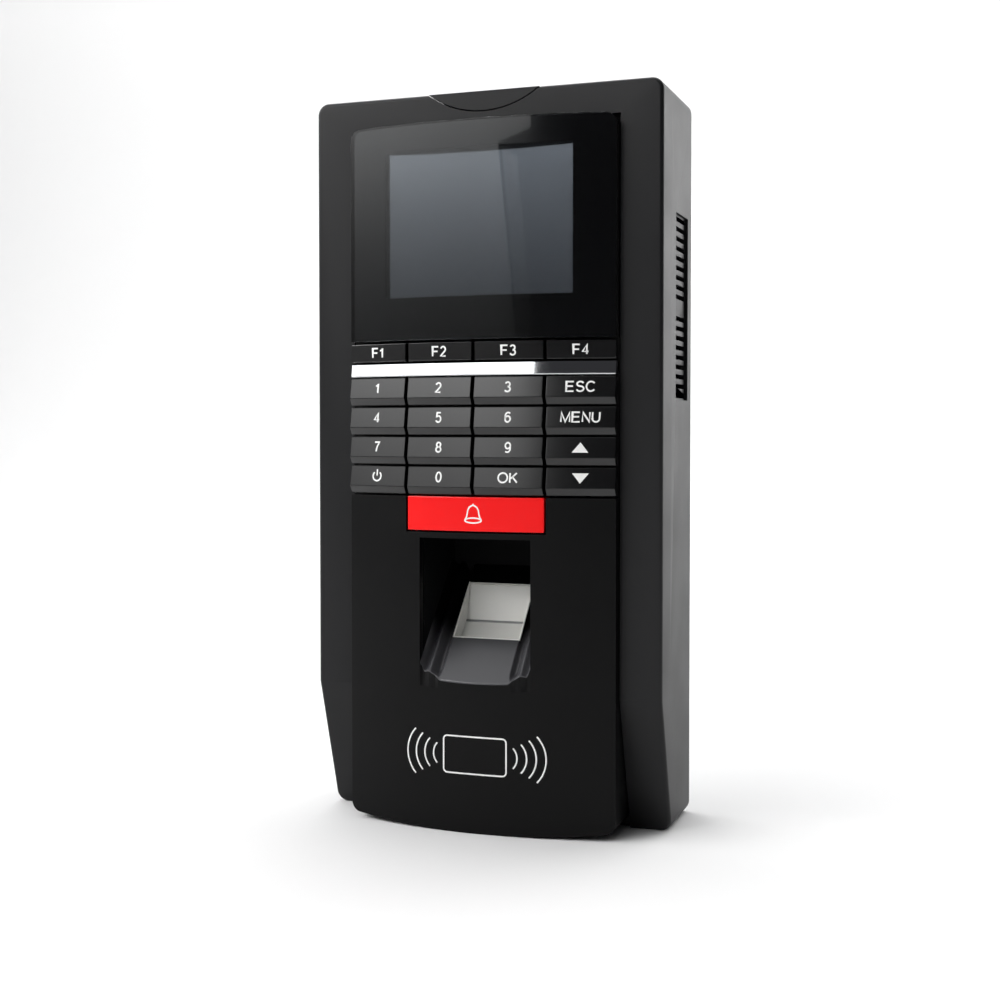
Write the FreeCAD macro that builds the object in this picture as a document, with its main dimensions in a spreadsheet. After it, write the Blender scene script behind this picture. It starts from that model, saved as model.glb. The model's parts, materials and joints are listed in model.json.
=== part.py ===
"""Wall terminal with a fingerprint reader, keypad, display and card reader.

Millimetres, +Z up, the front faces -Y. The origin is the centre of the wall plate's four
screw holes, in the plane of the wall. Every piece is drawn in a frame of its own with x = 0 on
the centre line, y = 0 where the front panel's curved face meets its side edges, and z = 0 at the
foot of the case, and its Placement then moves it to the origin above.
"""
import FreeCAD, Part
import math
import os
import re
import Sketcher

SIZES = {
    # overall form
    "case_width": 92.5,
    "case_height": 186.0,
    "case_depth": 34.5,
    "panel_width": 70.8,
    "panel_crown": 4.6,
    "panel_proud": 2.7,
    "chin_height": 34.5,
    "chin_setback": 11.0,
    "chin_rise": 1.9,
    "seam_depth": 8.4,
    "corner_round": 3.0,
    "panel_round": 2.8,
    "rim_round": 1.0,
    "shell_wall": 2.2,
    "panel_gap": 0.25,
    # wall plate and the tub it sits in
    "fixing_height": 93.0,
    "fixing_width": 45.0,
    "fixing_span": 110.0,
    "fixing_bore": 2.25,
    "plate_width": 64.0,
    "plate_low": 4.0,
    "plate_top": 16.0,
    "plate_gauge": 1.5,
    "plate_gap": 0.8,
    "tub_depth": 6.0,
    "tub_wall": 2.0,
    "hook_width": 12.0,
    "cable_width": 48.0,
    "cable_height": 20.0,
    "cable_rise": 4.0,
    "hook_gap": 0.5,
    "rest_radius": 3.0,
    "rest_inset": 6.0,
    "rest_low": 26.0,
    "rest_top": 12.0,
    # display, stacked down from the case's top
    "top_band": 8.3,
    "display_top": 3.75,
    "display_foot": 7.85,
    "lens_gauge": 1.4,
    "display_width": 60.3,
    "display_height": 42.7,
    "display_gauge": 2.3,
    "display_face": 0.25,
    "display_gap": 0.3,
    "frame_lip": 2.4,
    "frame_gauge": 0.8,
    "frame_wall": 2.0,
    "frame_floor": 1.0,
    # keypad
    "key_pitch": 18.3,
    "key_gap": 0.8,
    "row_pitch": 7.45,
    "row_gap": 0.45,
    "key_tilt": 10.9,
    "key_face": 5.2,
    "soft_gap": 0.7,
    "soft_height": 4.55,
    "strip_above": 0.4,
    "strip_height": 3.4,
    "strip_below": 0.35,
    "strip_proud": 0.3,
    "bell_gap": 0.5,
    "bell_width": 36.2,
    "bell_height": 8.55,
    "edge_play": 0.05,
    "key_travel": 0.8,
    "key_spare": 0.2,
    "key_skin": 1.3,
    "stem_width": 5.0,
    "stem_height": 3.0,
    "stem_gap": 0.3,
    "key_floor": 3.0,
    "floor_gauge": 2.0,
    "mat_gauge": 0.8,
    "mat_rim": 0.3,
    "mat_wall": 2.0,
    "mat_top": 0.4,
    "board_gauge": 1.6,
    # finger well: the slope that the finger lies on
    "window_width": 29.4,
    "window_gap": 1.9,
    "lip_front": -4.3,
    "lip_level": 38.3,
    "slope_lean": 42.7,
    "slope_gauge": 1.8,
    "well_wall": 1.5,
    "well_depth": 20.5,
    "well_front": -1.0,
    "well_gap": 0.2,
    "prism_low": 12.9,
    "prism_length": 17.7,
    "prism_width": 18.2,
    "prism_gauge": 6.5,
    "prism_gap": 0.15,
    "prism_sink": 0.3,
    "sensor_wall": 1.6,
    "sensor_depth": 10.0,
    "sensor_rim": 1.5,
    "sensor_board_gauge": 1.2,
    "eye_height": 1.2,
    "eye_radius": 3.2,
    "barrel_height": 2.4,
    "barrel_radius": 2.0,
    # boards and what they carry
    "main_board_face": 12.0,
    "main_board_width": 62.0,
    "board_rise": 6.3,
    "board_top": 10.0,
    "cell_radius": 6.3,
    "cell_height": 3.0,
    "can_radius": 3.5,
    "can_height": 9.0,
    "header_width": 9.5,
    "header_height": 5.6,
    "header_depth": 7.0,
    "header_wall": 0.8,
    "header_floor": 1.5,
    "header_pitch": 11.04,
    "header_count": 4.0,
    "usb_width": 13.1,
    "usb_height": 5.7,
    "usb_length": 14.0,
    "usb_wall": 0.4,
    "usb_floor": 2.0,
    "usb_below": 0.4,
    "tongue_front": 2.4,
    "tongue_gauge": 1.8,
    "tongue_inset": 1.0,
    "antenna_width": 50.0,
    "antenna_low": 7.0,
    "antenna_high": 34.0,
    "antenna_face": 2.5,
    "antenna_gauge": 1.0,
    "antenna_band": 6.0,
    "post_side": 4.0,
    "post_inset": 3.0,
    "film_gauge": 0.3,
    "lead_width": 16.0,
    "lead_hang": 2.0,
    "lead_reach": 6.0,
    "keypad_lead_left": 12.0,
    "keypad_lead_width": 10.0,
    "keypad_lead_rise": 20.4,
    "sensor_lead_width": 10.0,
    "sensor_lead_rise": 1.5,
    # the panel's flange, which stops it from coming out forwards
    "flange_lip": 1.2,
    "flange_gauge": 1.6,
    "flange_rise": 2.4,
    "flange_low": 2.0,
    "top_rail": 1.0,
    # crescent cover in the top edge
    "notch_radius": 24.7,
    "notch_drop": 5.2,
    "notch_gap": 0.2,
    "notch_back": 14.0,
    "port_room": 0.4,
    # air slots in the side walls, and the loudspeaker behind them
    "vent_front": 16.8,
    "vent_back": 30.6,
    "vent_top": 30.7,
    "vent_height": 46.9,
    "vent_sink": 0.85,
    "vent_margin": 0.5,
    "slot_margin": 0.6,
    "slot_pitch": 2.45,
    "slot_height": 1.2,
    "slot_count": 9.0,
    "speaker_radius": 8.0,
    "speaker_height": 5.0,
    "magnet_radius": 5.0,
    "magnet_height": 2.0,
    # screws
    "screw_inset": 5.85,
    "screw_low": 50.0,
    "screw_top": 18.0,
    "screw_radius": 1.3,
    "pilot_radius": 1.1,
    "screw_play": 0.3,
    "head_play": 0.2,
    "head_radius": 2.5,
    "head_height": 1.8,
    "boss_radius": 2.9,
    "boss_extra": 0.6,
    "boss_root": 2.0,
    "boss_split": 20.0,
    "seat_gauge": 2.0,
    "board_screw_across": 26.0,
    "board_screw_rise": 30.0,
    "board_screw_inset": 5.0,
    "security_back": 3.0,
    "shell_screw_length": 10.0,
    "board_screw_length": 8.0,
    "security_screw_length": 6.0,
    "screw_sink": 0.1,
    # how far a cutting solid runs past the face that it goes through
    "past": 1.0,
}

# Places worked out from the sizes. The display, keys and window hang from the case's top.
PLACES = {
    "lens_high": "case_height - top_band",
    "display_high": "lens_high - display_top",
    "display_low": "display_high - display_height",
    "lens_low": "display_low - display_foot",
    "soft_high": "lens_low - soft_gap",
    "soft_low": "soft_high - soft_height",
    "strip_high": "soft_low - strip_above",
    "strip_low": "strip_high - strip_height",
    "row_top": "strip_low - strip_below",
    "bell_high": "row_top - 4 * row_pitch + row_gap - bell_gap",
    "bell_low": "bell_high - bell_height",
    "window_high": "bell_low - window_gap",
    "main_board_low": "window_high + board_rise",
    "main_board_high": "case_height - board_top",
    "board_screw_low": "main_board_low + board_screw_rise",
    "board_screw_high": "main_board_high - board_screw_inset",
    "cable_low": "main_board_low + cable_rise",
    "cable_high": "cable_low + cable_height",
    "plate_high": "case_height - plate_top",
    "vent_high": "case_height - vent_top",
    "vent_low": "vent_high - vent_height",
    "screw_across": "case_width / 2 - screw_inset",
    "screw_high": "case_height - screw_top",
}

doc = FreeCAD.newDocument("FingerprintTerminal")
sheet = doc.addObject("Spreadsheet::Sheet", "Sizes")
for row, (alias, value) in enumerate(SIZES.items(), start=1):
    sheet.set(f"A{row}", alias)
    sheet.set(f"B{row}", str(value))
    sheet.setAlias(f"B{row}", alias)
doc.recompute()

PIECES = []
WORD = re.compile(r"[a-z_]+")


# ---------- formulas, sketches and solids ----------

def formula(text):
    """Writes out the places in a formula and names the sheet in front of every size."""
    def spell(word):
        if word[0] in PLACES:
            return f"({formula(PLACES[word[0]])})"
        return f"Sizes.{word[0]}" if word[0] in SIZES else word[0]

    return WORD.sub(spell, str(text))


def bind(thing, **wanted):
    """Binds properties to formulas."""
    for name, text in wanted.items():
        thing.setExpression(name, formula(text))


def piece(label, thing, lean=False):
    """Names a finished sub-part and moves it to the terminal's origin.

    A leaning piece is drawn on the finger slope: its z runs up the slope from the lip and its -y
    points out of the slope.
    """
    thing.Label = label
    thing.setExpression("Placement.Base.y", formula("-case_depth"))
    thing.setExpression("Placement.Base.z", formula("-fixing_height"))
    if lean:
        thing.setExpression("Placement.Base.y", formula("lip_front - case_depth"))
        thing.setExpression("Placement.Base.z", formula("lip_level - fixing_height"))
        thing.Placement.Rotation = FreeCAD.Rotation(FreeCAD.Vector(1, 0, 0), -1)
        thing.setExpression("Placement.Rotation.Angle", formula("-slope_lean"))
    PIECES.append(thing)
    return thing


def block(x, y, z):
    """A box from a low and a high formula on each axis."""
    box = doc.addObject("Part::Box", "Block")
    for side, axis, (low, high) in zip(("Length", "Width", "Height"), "xyz", (x, y, z)):
        box.setExpression(side, formula(f"({high}) - ({low})"))
        box.setExpression(f"Placement.Base.{axis}", formula(low))
    return box


def rod(along, centre, ends, radius):
    """A cylinder along x, y or z; centre is on the two other axes, ends on its own."""
    turn = {
        "x": FreeCAD.Rotation(FreeCAD.Vector(0, 1, 0), 90),
        "y": FreeCAD.Rotation(FreeCAD.Vector(1, 0, 0), -90),
        "z": FreeCAD.Rotation(),
    }[along]
    cylinder = doc.addObject("Part::Cylinder", "Rod")
    cylinder.Placement = FreeCAD.Placement(FreeCAD.Vector(), turn)
    bind(cylinder, Radius=radius, Height=f"({ends[1]}) - ({ends[0]})")
    places = dict(zip([axis for axis in "xyz" if axis != along], centre))
    places[along] = ends[0]
    for axis, place in places.items():
        cylinder.setExpression(f"Placement.Base.{axis}", formula(place))
    return cylinder


def fuse(*things):
    joined = doc.addObject("Part::MultiFuse", "Fuse")
    joined.Shapes = list(things)
    joined.Refine = True
    return joined


def common(*things):
    shared = doc.addObject("Part::MultiCommon", "Common")
    shared.Shapes = list(things)
    return shared


def cut(base, *tools):
    """A cut; several tools are gathered into one first."""
    result = doc.addObject("Part::Cut", "Cut")
    result.Base = base
    result.Tool = tools[0] if len(tools) == 1 else gather(*tools)
    result.Refine = True
    return result


def gather(*things):
    """Separate solids kept as one compound."""
    group = doc.addObject("Part::Compound", "Group")
    group.Links = list(things)
    return group


def sketch(body, role, offset="0"):
    """A sketch on one of the body's own origin planes, moved along the plane's normal."""
    drawing = body.newObject("Sketcher::SketchObject", "Sketch")
    base = next(plane for plane in body.Origin.OriginFeatures if plane.Role == role)
    drawing.AttachmentSupport = (base, [""])
    drawing.MapMode = "FlatFace"
    drawing.setExpression("AttachmentOffset.Base.z", formula(offset))
    return drawing


def polygon(drawing, corners):
    """A closed outline whose every corner is held by two dimensions from the origin."""
    first = drawing.GeometryCount
    count = len(corners)
    for index in range(count):
        start, end = (2 * math.pi * step / count for step in (index, index + 1))
        begin = FreeCAD.Vector(math.cos(start), math.sin(start), 0)
        drawing.addGeometry(Part.LineSegment(begin, FreeCAD.Vector(math.cos(end), math.sin(end), 0)))
    for index in range(count):
        joint = Sketcher.Constraint("Coincident", first + index, 2, first + (index + 1) % count, 1)
        drawing.addConstraint(joint)
    for index, corner in enumerate(corners):
        for kind, text in zip(("DistanceX", "DistanceY"), corner):
            held = drawing.addConstraint(Sketcher.Constraint(kind, -1, 1, first + index, 1, 1.0))
            drawing.setExpression(f"Constraints[{held}]", formula(text))


def rectangle(drawing, x, z):
    polygon(drawing, [(x[0], z[0]), (x[1], z[0]), (x[1], z[1]), (x[0], z[1])])


def disc(drawing, x, z, radius):
    """A circle held by its centre and radius."""
    circle = Part.Circle(FreeCAD.Vector(1, 1, 0), FreeCAD.Vector(0, 0, 1), 1)
    index = drawing.addGeometry(circle)
    for kind, text in (("DistanceX", x), ("DistanceY", z)):
        held = drawing.addConstraint(Sketcher.Constraint(kind, -1, 1, index, 3, 1.0))
        drawing.setExpression(f"Constraints[{held}]", formula(text))
    held = drawing.addConstraint(Sketcher.Constraint("Radius", index, 1.0))
    drawing.setExpression(f"Constraints[{held}]", formula(radius))


def extrude(body, kind, drawing, length, flip=False, both=False):
    """A pad or a pocket of a sketch, both ways from the plane or one way."""
    feature = body.newObject(f"PartDesign::{kind}", kind)
    feature.Profile = drawing
    feature.Reversed = flip
    feature.Midplane = both
    bind(feature, Length=length)
    return feature


def pad_front(body, draw, y):
    """Pads what draw makes on the x-z plane between two formulas of y."""
    drawing = sketch(body, "XZ_Plane", f"-({y[0]})")
    draw(drawing)
    return extrude(body, "Pad", drawing, f"({y[1]}) - ({y[0]})", flip=True)


def pocket_front(body, draw, y):
    """Pockets what draw makes on the x-z plane between two formulas of y."""
    drawing = sketch(body, "XZ_Plane", f"-({y[0]})")
    draw(drawing)
    return extrude(body, "Pocket", drawing, f"({y[1]}) - ({y[0]})")


def across(body, kind, corners, width):
    """Pads or pockets a side outline of (y, z) corners evenly about the centre plane."""
    drawing = sketch(body, "YZ_Plane")
    polygon(drawing, corners)
    return extrude(body, kind, drawing, width, both=True)


def round_off(body, radius, wanted):
    """Fillets the edges of the body's last feature that wanted picks."""
    doc.recompute()
    last = body.Tip
    names = [f"Edge{n}" for n, edge in enumerate(last.Shape.Edges, start=1) if wanted(edge)]
    fillet = body.newObject("PartDesign::Fillet", "Fillet")
    fillet.Base = (last, names)
    bind(fillet, Radius=radius)
    doc.recompute()
    return fillet


def runs_along(edge, axis):
    """True for a straight edge along one axis."""
    if edge.Curve.TypeId != "Part::GeomLine":
        return False
    return abs(getattr(edge.Curve.Direction, axis)) > 0.999


def new_body(label):
    return doc.addObject("PartDesign::Body", label)


def slab(label, x, y, z):
    """A flat rectangular body, such as a circuit board."""
    body = new_body(label)
    pad_front(body, lambda drawing: rectangle(drawing, x, z), y)
    return body


def both_sides(text):
    return (f"-({text})", text)


# ---------- lines that several pieces share ----------

HALF_PANEL = "panel_width / 2"
CROWN_RADIUS = "(panel_width^2 / 4 + panel_crown^2) / (2 * panel_crown)"
CHIN_RADIUS = "(panel_width^2 / 4 + chin_rise^2) / (2 * chin_rise)"
WING = "panel_proud"
WING_INSIDE = "panel_proud + shell_wall"
SEAM = "panel_proud + seam_depth"
OPENING = "panel_width / 2 + panel_gap"
TUB_FLOOR = "case_depth - tub_depth"
TUB_BACK = "case_depth - tub_depth - tub_wall"
TUB_HALF = "plate_width / 2 + plate_gap"
TUB_LOW = "plate_low - plate_gap"
TUB_HIGH = "plate_high + plate_gap"
FLOOR_BACK = "key_floor + floor_gauge"
FRAME_BACK = "key_floor + floor_gauge + frame_gauge"
MAT_FACE = "key_floor + floor_gauge + mat_rim"
KEYPAD_BOARD_FACE = f"{MAT_FACE} + mat_gauge"
MAIN_BOARD_BACK = "main_board_face + board_gauge"
FAR_FRONT = "-panel_crown - 10"
FLANGE_BACK = "panel_proud + shell_wall + flange_gauge"
USB_FACE = "main_board_face - usb_height"
USB_TOP = "case_height - notch_drop - usb_below"
NOTCH_CENTRE = "case_height - notch_drop + notch_radius"
SECURITY_DEPTH = f"{TUB_FLOOR} + security_back"


def crown(inset, ends):
    """The upright cylinder that the front panel's face lies on, or one set in behind it."""
    radius = f"{CROWN_RADIUS} - ({inset})"
    return rod("z", ("0", f"{CROWN_RADIUS} - panel_crown"), ends, radius)


def slope_block(x, y, z):
    """A box drawn on the finger slope."""
    box = block(x, y, z)
    box.Placement.Rotation = FreeCAD.Rotation(FreeCAD.Vector(1, 0, 0), -1)
    box.setExpression("Placement.Rotation.Angle", formula("-slope_lean"))
    out, up = y[0], z[0]
    turned_y = f"lip_front + ({out}) * cos(slope_lean) + ({up}) * sin(slope_lean)"
    turned_z = f"lip_level - ({out}) * sin(slope_lean) + ({up}) * cos(slope_lean)"
    box.setExpression("Placement.Base.y", formula(turned_y))
    box.setExpression("Placement.Base.z", formula(turned_z))
    return box


# ---------- front shell ----------

def wing_line(depth):
    """Side outline of the sloping wings, a depth behind their face."""
    return [
        (f"{WING} + ({depth})", "case_height"),
        (f"{WING} + ({depth})", "chin_height"),
        (f"{WING} + chin_setback + ({depth})", "0"),
    ]


def shell_corner(edge):
    """The case's own four corners along y, seen from the front."""
    box = edge.BoundBox
    outer = abs(abs(box.Center.x) - SIZES["case_width"] / 2) < 0.01
    return runs_along(edge, "y") and outer


def make_front_shell():
    body = new_body("front_shell")
    across(body, "Pad", wing_line("0") + wing_line("seam_depth")[::-1], "case_width")
    round_off(body, "corner_round", shell_corner)
    round_off(body, "rim_round", front_rim)
    low = "panel_proud + chin_setback * (1 - shell_wall / chin_height) + shell_wall"
    inside = [
        (WING_INSIDE, "case_height - shell_wall"),
        (WING_INSIDE, "chin_height"),
        (low, "shell_wall"),
        ("case_depth", "shell_wall"),
        ("case_depth", "case_height - shell_wall"),
    ]
    across(body, "Pocket", inside, "case_width - 2 * shell_wall")
    high = "lens_high + panel_gap"
    pocket_front(
        body,
        lambda drawing: rectangle(drawing, both_sides(OPENING), ("-past", high)),
        (FAR_FRONT, f"{WING_INSIDE} + chin_setback"),
    )
    pocket_front(
        body,
        lambda drawing: disc(drawing, "0", NOTCH_CENTRE, "notch_radius"),
        (FAR_FRONT, f"{SEAM} + past"),
    )
    for x in both_sides("screw_across"):
        for z in ("screw_low", "screw_high"):
            pad_front(
                body,
                lambda drawing: disc(drawing, x, z, "boss_radius"),
                (WING_INSIDE, "boss_split"),
            )
            pocket_front(
                body,
                lambda drawing: disc(drawing, x, z, "screw_radius"),
                (f"{WING_INSIDE} + boss_root", "boss_split + past"),
            )
    return piece("front_shell", body)


def front_rim(edge):
    """The edges all round the wings' face."""
    limit = SIZES["panel_proud"] + SIZES["chin_setback"] * (
        1 - edge.CenterOfMass.z / SIZES["chin_height"]
    )
    on_face = abs(edge.CenterOfMass.y - max(limit, SIZES["panel_proud"])) < 0.05
    inner_kink = runs_along(edge, "x") and abs(edge.CenterOfMass.z - SIZES["chin_height"]) < 1
    return on_face and not inner_kink


# ---------- rear shell ----------

def make_rear_shell():
    body = new_body("rear_shell")
    outline = wing_line("seam_depth") + [("case_depth", "0"), ("case_depth", "case_height")]
    across(body, "Pad", outline, "case_width")
    round_off(body, "corner_round", shell_corner)
    hollow = [
        ("0", "case_height - shell_wall"),
        ("0", "shell_wall"),
        ("case_depth - shell_wall", "shell_wall"),
        ("case_depth - shell_wall", "case_height - shell_wall"),
    ]
    across(body, "Pocket", hollow, "case_width - 2 * shell_wall")
    tub = (f"{TUB_HALF} + tub_wall", "shell_wall / 2", f"{TUB_HIGH} + tub_wall")
    pad_front(
        body,
        lambda drawing: rectangle(drawing, both_sides(tub[0]), tub[1:]),
        (TUB_BACK, "case_depth"),
    )
    pocket_front(
        body,
        lambda drawing: rectangle(drawing, both_sides(TUB_HALF), (TUB_LOW, TUB_HIGH)),
        (TUB_FLOOR, "case_depth + past"),
    )
    pocket_front(
        body,
        cable_opening,
        (f"{TUB_BACK} - past", f"{TUB_FLOOR} + past"),
    )
    for x in both_sides("screw_across"):
        for z in ("screw_low", "screw_high"):
            add_shell_boss(body, x, z)
    for x in both_sides("board_screw_across"):
        for z in ("board_screw_low", "board_screw_high"):
            add_board_post(body, x, z)
    for x in both_sides("plate_width / 2 - rest_inset"):
        for z in ("plate_low + rest_low", "plate_high - rest_top"):
            pad_front(
                body,
                lambda drawing: disc(drawing, x, z, "rest_radius"),
                (TUB_FLOOR, "case_depth - plate_gauge"),
            )
    pocket_front(
        body,
        lambda drawing: disc(drawing, "0", NOTCH_CENTRE, "notch_radius"),
        (WING, "notch_back"),
    )
    for side in (-1, 1):
        add_vents(body, side)
    drawing = sketch(body, "XY_Plane", "-past")
    disc(drawing, "0", SECURITY_DEPTH, "screw_radius + screw_play")
    extrude(body, "Pocket", drawing, f"{TUB_LOW} + 2 * past", flip=True)
    drawing = sketch(body, "XY_Plane", "-past")
    disc(drawing, "0", SECURITY_DEPTH, "head_radius + head_play")
    extrude(body, "Pocket", drawing, "head_height + screw_sink + past", flip=True)
    return piece("rear_shell", body)


def cable_opening(drawing):
    """The opening that the wires from the wall come through."""
    rectangle(drawing, both_sides("cable_width / 2"), ("cable_low", "cable_high"))


def add_shell_boss(body, x, z):
    """A tube in from the rear face, with a deep seat for the screw's head."""
    pad_front(
        body,
        lambda drawing: disc(drawing, x, z, "boss_radius + boss_extra"),
        ("boss_split", "case_depth"),
    )
    pocket_front(
        body,
        lambda drawing: disc(drawing, x, z, "screw_radius + screw_play"),
        ("boss_split - past", "case_depth + past"),
    )
    pocket_front(
        body,
        lambda drawing: disc(drawing, x, z, "head_radius + head_play"),
        ("boss_split + seat_gauge", "case_depth + past"),
    )


def add_board_post(body, x, z):
    """A post from the tub's floor to the main board, drilled for a screw."""
    pad_front(body, lambda drawing: disc(drawing, x, z, "boss_radius"), (MAIN_BOARD_BACK, TUB_BACK))
    pocket_front(
        body,
        lambda drawing: disc(drawing, x, z, "pilot_radius"),
        (f"{MAIN_BOARD_BACK} - past", f"{TUB_BACK} - past"),
    )


def add_vents(body, side):
    """A shallow panel sunk in one side wall, with two banks of slots cut through it."""
    face = f"{side} * case_width / 2"
    inner = f"{side} * (case_width / 2 - vent_sink)"
    deep = f"{side} * (case_width / 2 - shell_wall - past)"

    def side_pocket(start, end, y, z_pairs):
        drawing = sketch(body, "YZ_Plane", start)
        for z in z_pairs:
            rectangle(drawing, y, z)
        extrude(body, "Pocket", drawing, f"abs(({end}) - ({start}))", flip=side < 0)

    side_pocket(face, inner, ("vent_front", "vent_back"), [("vent_low", "vent_high")])
    slots = []
    for step in range(int(SIZES["slot_count"])):
        low = f"vent_low + vent_margin + {step} * slot_pitch"
        slots.append((low, f"{low} + slot_height"))
        high = f"vent_high - vent_margin - {step} * slot_pitch"
        slots.append((f"{high} - slot_height", high))
    side_pocket(inner, deep, ("vent_front + slot_margin", "vent_back - slot_margin"), slots)


# ---------- centre panel ----------

def panel_outline():
    """The panel seen from the front: a shallow arc for its chin, and four rounded corners."""
    body = slab("Outline", both_sides(HALF_PANEL), (FAR_FRONT, "case_depth"), ("0", "lens_high"))
    drawing = sketch(body, "XZ_Plane", f"-({FAR_FRONT})")
    rectangle(drawing, both_sides("4 * case_height"), both_sides("4 * case_height"))
    disc(drawing, "0", CHIN_RADIUS, CHIN_RADIUS)
    extrude(body, "Pocket", drawing, f"case_depth - ({FAR_FRONT})")
    round_off(body, "panel_round", lambda edge: runs_along(edge, "y"))
    return body


def make_panel():
    """The curved centre moulding: skin, chin, key floor, lens ledge and the finger window."""
    wall = f"{HALF_PANEL} - shell_wall"
    apron_back = f"{WING_INSIDE} + chin_setback"
    hollow = block(
        both_sides(wall),
        (FAR_FRONT, f"{apron_back} + past"),
        ("shell_wall + chin_rise", "bell_low - key_gap - shell_wall"),
    )
    cheeks = [
        block(x, (FAR_FRONT, apron_back), ("bell_low - key_gap", "bell_high - shell_wall"))
        for x in (
            ("bell_width / 2 + shell_wall", wall),
            (f"-({wall})", "-bell_width / 2 - shell_wall"),
        )
    ]
    apron = cut(
        common(
            block(both_sides("case_width"), (FAR_FRONT, apron_back), ("-past", "bell_high")),
            crown("0", ("-past", "case_height")),
        ),
        common(fuse(hollow, *cheeks), crown("shell_wall", ("-past", "case_height"))),
        block(
            both_sides("panel_width"),
            (WING_INSIDE, f"{apron_back} + past"),
            ("chin_height + flange_low", "case_height"),
        ),
        block(
            both_sides("bell_width / 2 + row_gap"),
            (FAR_FRONT, "key_floor"),
            ("bell_low - row_gap", "case_height"),
        ),
    )
    top = "lens_high"
    floor = cut(
        block(both_sides(HALF_PANEL), ("key_floor", FLOOR_BACK), ("bell_low - key_gap", top)),
        gather(*cheeks),
    )
    ledge = common(
        block(both_sides(HALF_PANEL), (FAR_FRONT, FLOOR_BACK), ("lens_low", top)),
        crown("lens_gauge", ("-past", "case_height")),
    )
    posts = [
        common(
            block(
                (f"{x} - post_side / 2", f"{x} + post_side / 2"),
                (FAR_FRONT, "antenna_face"),
                (f"{z} - post_side / 2", f"{z} + post_side / 2"),
            ),
            crown("shell_wall / 2", ("-past", "case_height")),
        )
        for x in both_sides("antenna_width / 2 - post_inset")
        for z in ("antenna_low + post_inset", "antenna_high - post_inset")
    ]
    inside = block(both_sides(wall), (FAR_FRONT, "case_depth"), ("chin_height", f"{top} - top_rail"))
    flange = cut(
        block(
            both_sides(f"{HALF_PANEL} + flange_lip"),
            (WING_INSIDE, FLANGE_BACK),
            ("chin_height + flange_low", f"{top} + flange_rise"),
        ),
        inside,
    )
    sides = cut(
        block(both_sides(HALF_PANEL), ("key_floor", FLANGE_BACK), ("bell_low - key_gap", top)),
        inside,
    )
    solid = fuse(common(panel_outline(), fuse(apron, floor, ledge, sides, *posts)), flange)
    display_hole = block(
        both_sides("display_width / 2 + display_gap"),
        (FAR_FRONT, "case_depth"),
        ("display_low - display_gap", "display_high + display_gap"),
    )
    stems = [
        block(
            (f"({x}) - stem_width / 2 - stem_gap", f"({x}) + stem_width / 2 + stem_gap"),
            ("0", f"{FLOOR_BACK} + past"),
            (f"({z}) - stem_height / 2 - stem_gap", f"({z}) + stem_height / 2 + stem_gap"),
        )
        for x, z in [key[1:3] for key in KEYS]
    ]
    well_room = block(
        both_sides("window_width / 2 + well_wall + well_gap"),
        ("well_front - well_gap", "case_depth"),
        ("0", "window_high + well_wall"),
    )
    port_room = block(
        both_sides("usb_width / 2 + port_room"),
        (f"{USB_FACE} - port_room", "case_depth"),
        (f"{USB_TOP} - usb_length - port_room", "case_height"),
    )
    openings = (display_hole, finger_window(), well_room, port_room, *stems)
    return piece("centre_panel", cut(solid, *openings))


def finger_window():
    """The space in front of the finger slope, as wide and as high as the window."""
    half = both_sides("window_width / 2")
    upright = block(half, (FAR_FRONT, "well_depth"), ("0", "window_high"))
    above = slope_block(both_sides("case_width"), ("-case_height", "0"), both_sides("case_height"))
    return common(upright, above)


def make_lens():
    """The bent window over the display, with its two upper corners rounded."""
    outline = slab(
        "Rounded",
        both_sides(f"{HALF_PANEL} - edge_play"),
        (FAR_FRONT, "case_depth"),
        ("lens_low", "lens_high"),
    )
    high = SIZES["case_height"] - SIZES["top_band"]
    round_off(
        outline,
        "panel_round",
        lambda edge: runs_along(edge, "y") and abs(edge.CenterOfMass.z - high) < 0.01,
    )
    bent = cut(crown("0", ("0", "case_height")), crown("lens_gauge", ("-past", "case_height + past")))
    front_half = block(both_sides("case_width"), (FAR_FRONT, "case_depth"), ("0", "case_height"))
    return piece("display_lens", common(outline, front_half, bent))


def make_strip():
    """The bright trim between the soft keys and the number keys."""
    half = f"{HALF_PANEL} - edge_play"
    bar = block(both_sides(half), (FAR_FRONT, "key_floor"), ("strip_low", "strip_high"))
    face = crown("-strip_proud", ("0", "case_height"))
    return piece("trim_strip", common(bar, face))


# ---------- keys ----------

def key_columns():
    """Left and right edges of the four key columns."""
    inner, outer = "key_gap / 2", f"{HALF_PANEL} - edge_play"
    near, far = "key_pitch - key_gap / 2", "key_pitch + key_gap / 2"
    return [
        (f"-({outer})", f"-({far})"),
        (f"-({near})", f"-({inner})"),
        (inner, near),
        (far, outer),
    ]


def row_edges(row):
    """Lower and upper edge of a row of number keys, counted from the top."""
    high = f"row_top - {row} * row_pitch"
    return (f"{high} - row_pitch + row_gap", high)


def middle(pair):
    return f"(({pair[0]}) + ({pair[1]})) / 2"


def list_keys():
    """Name, centre, edges and row of every key; the row is None on a key with a plain face."""
    rows = [
        ("key_one", "key_two", "key_three", "key_escape"),
        ("key_four", "key_five", "key_six", "key_menu"),
        ("key_seven", "key_eight", "key_nine", "key_up"),
        ("key_power", "key_zero", "key_enter", "key_down"),
    ]
    keys = []
    for number, names in enumerate(rows):
        for name, x in zip(names, key_columns()):
            z = row_edges(number)
            keys.append((name, middle(x), middle(z), x, z, number))
    soft = ("soft_low", "soft_high")
    for number, x in enumerate(key_columns(), start=1):
        keys.append((f"soft_key_{number}", middle(x), middle(soft), x, soft, None))
    x, z = both_sides("bell_width / 2"), ("bell_low", "bell_high")
    keys.append(("bell_key", middle(x), middle(z), x, z, None))
    return keys


KEYS = list_keys()


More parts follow.
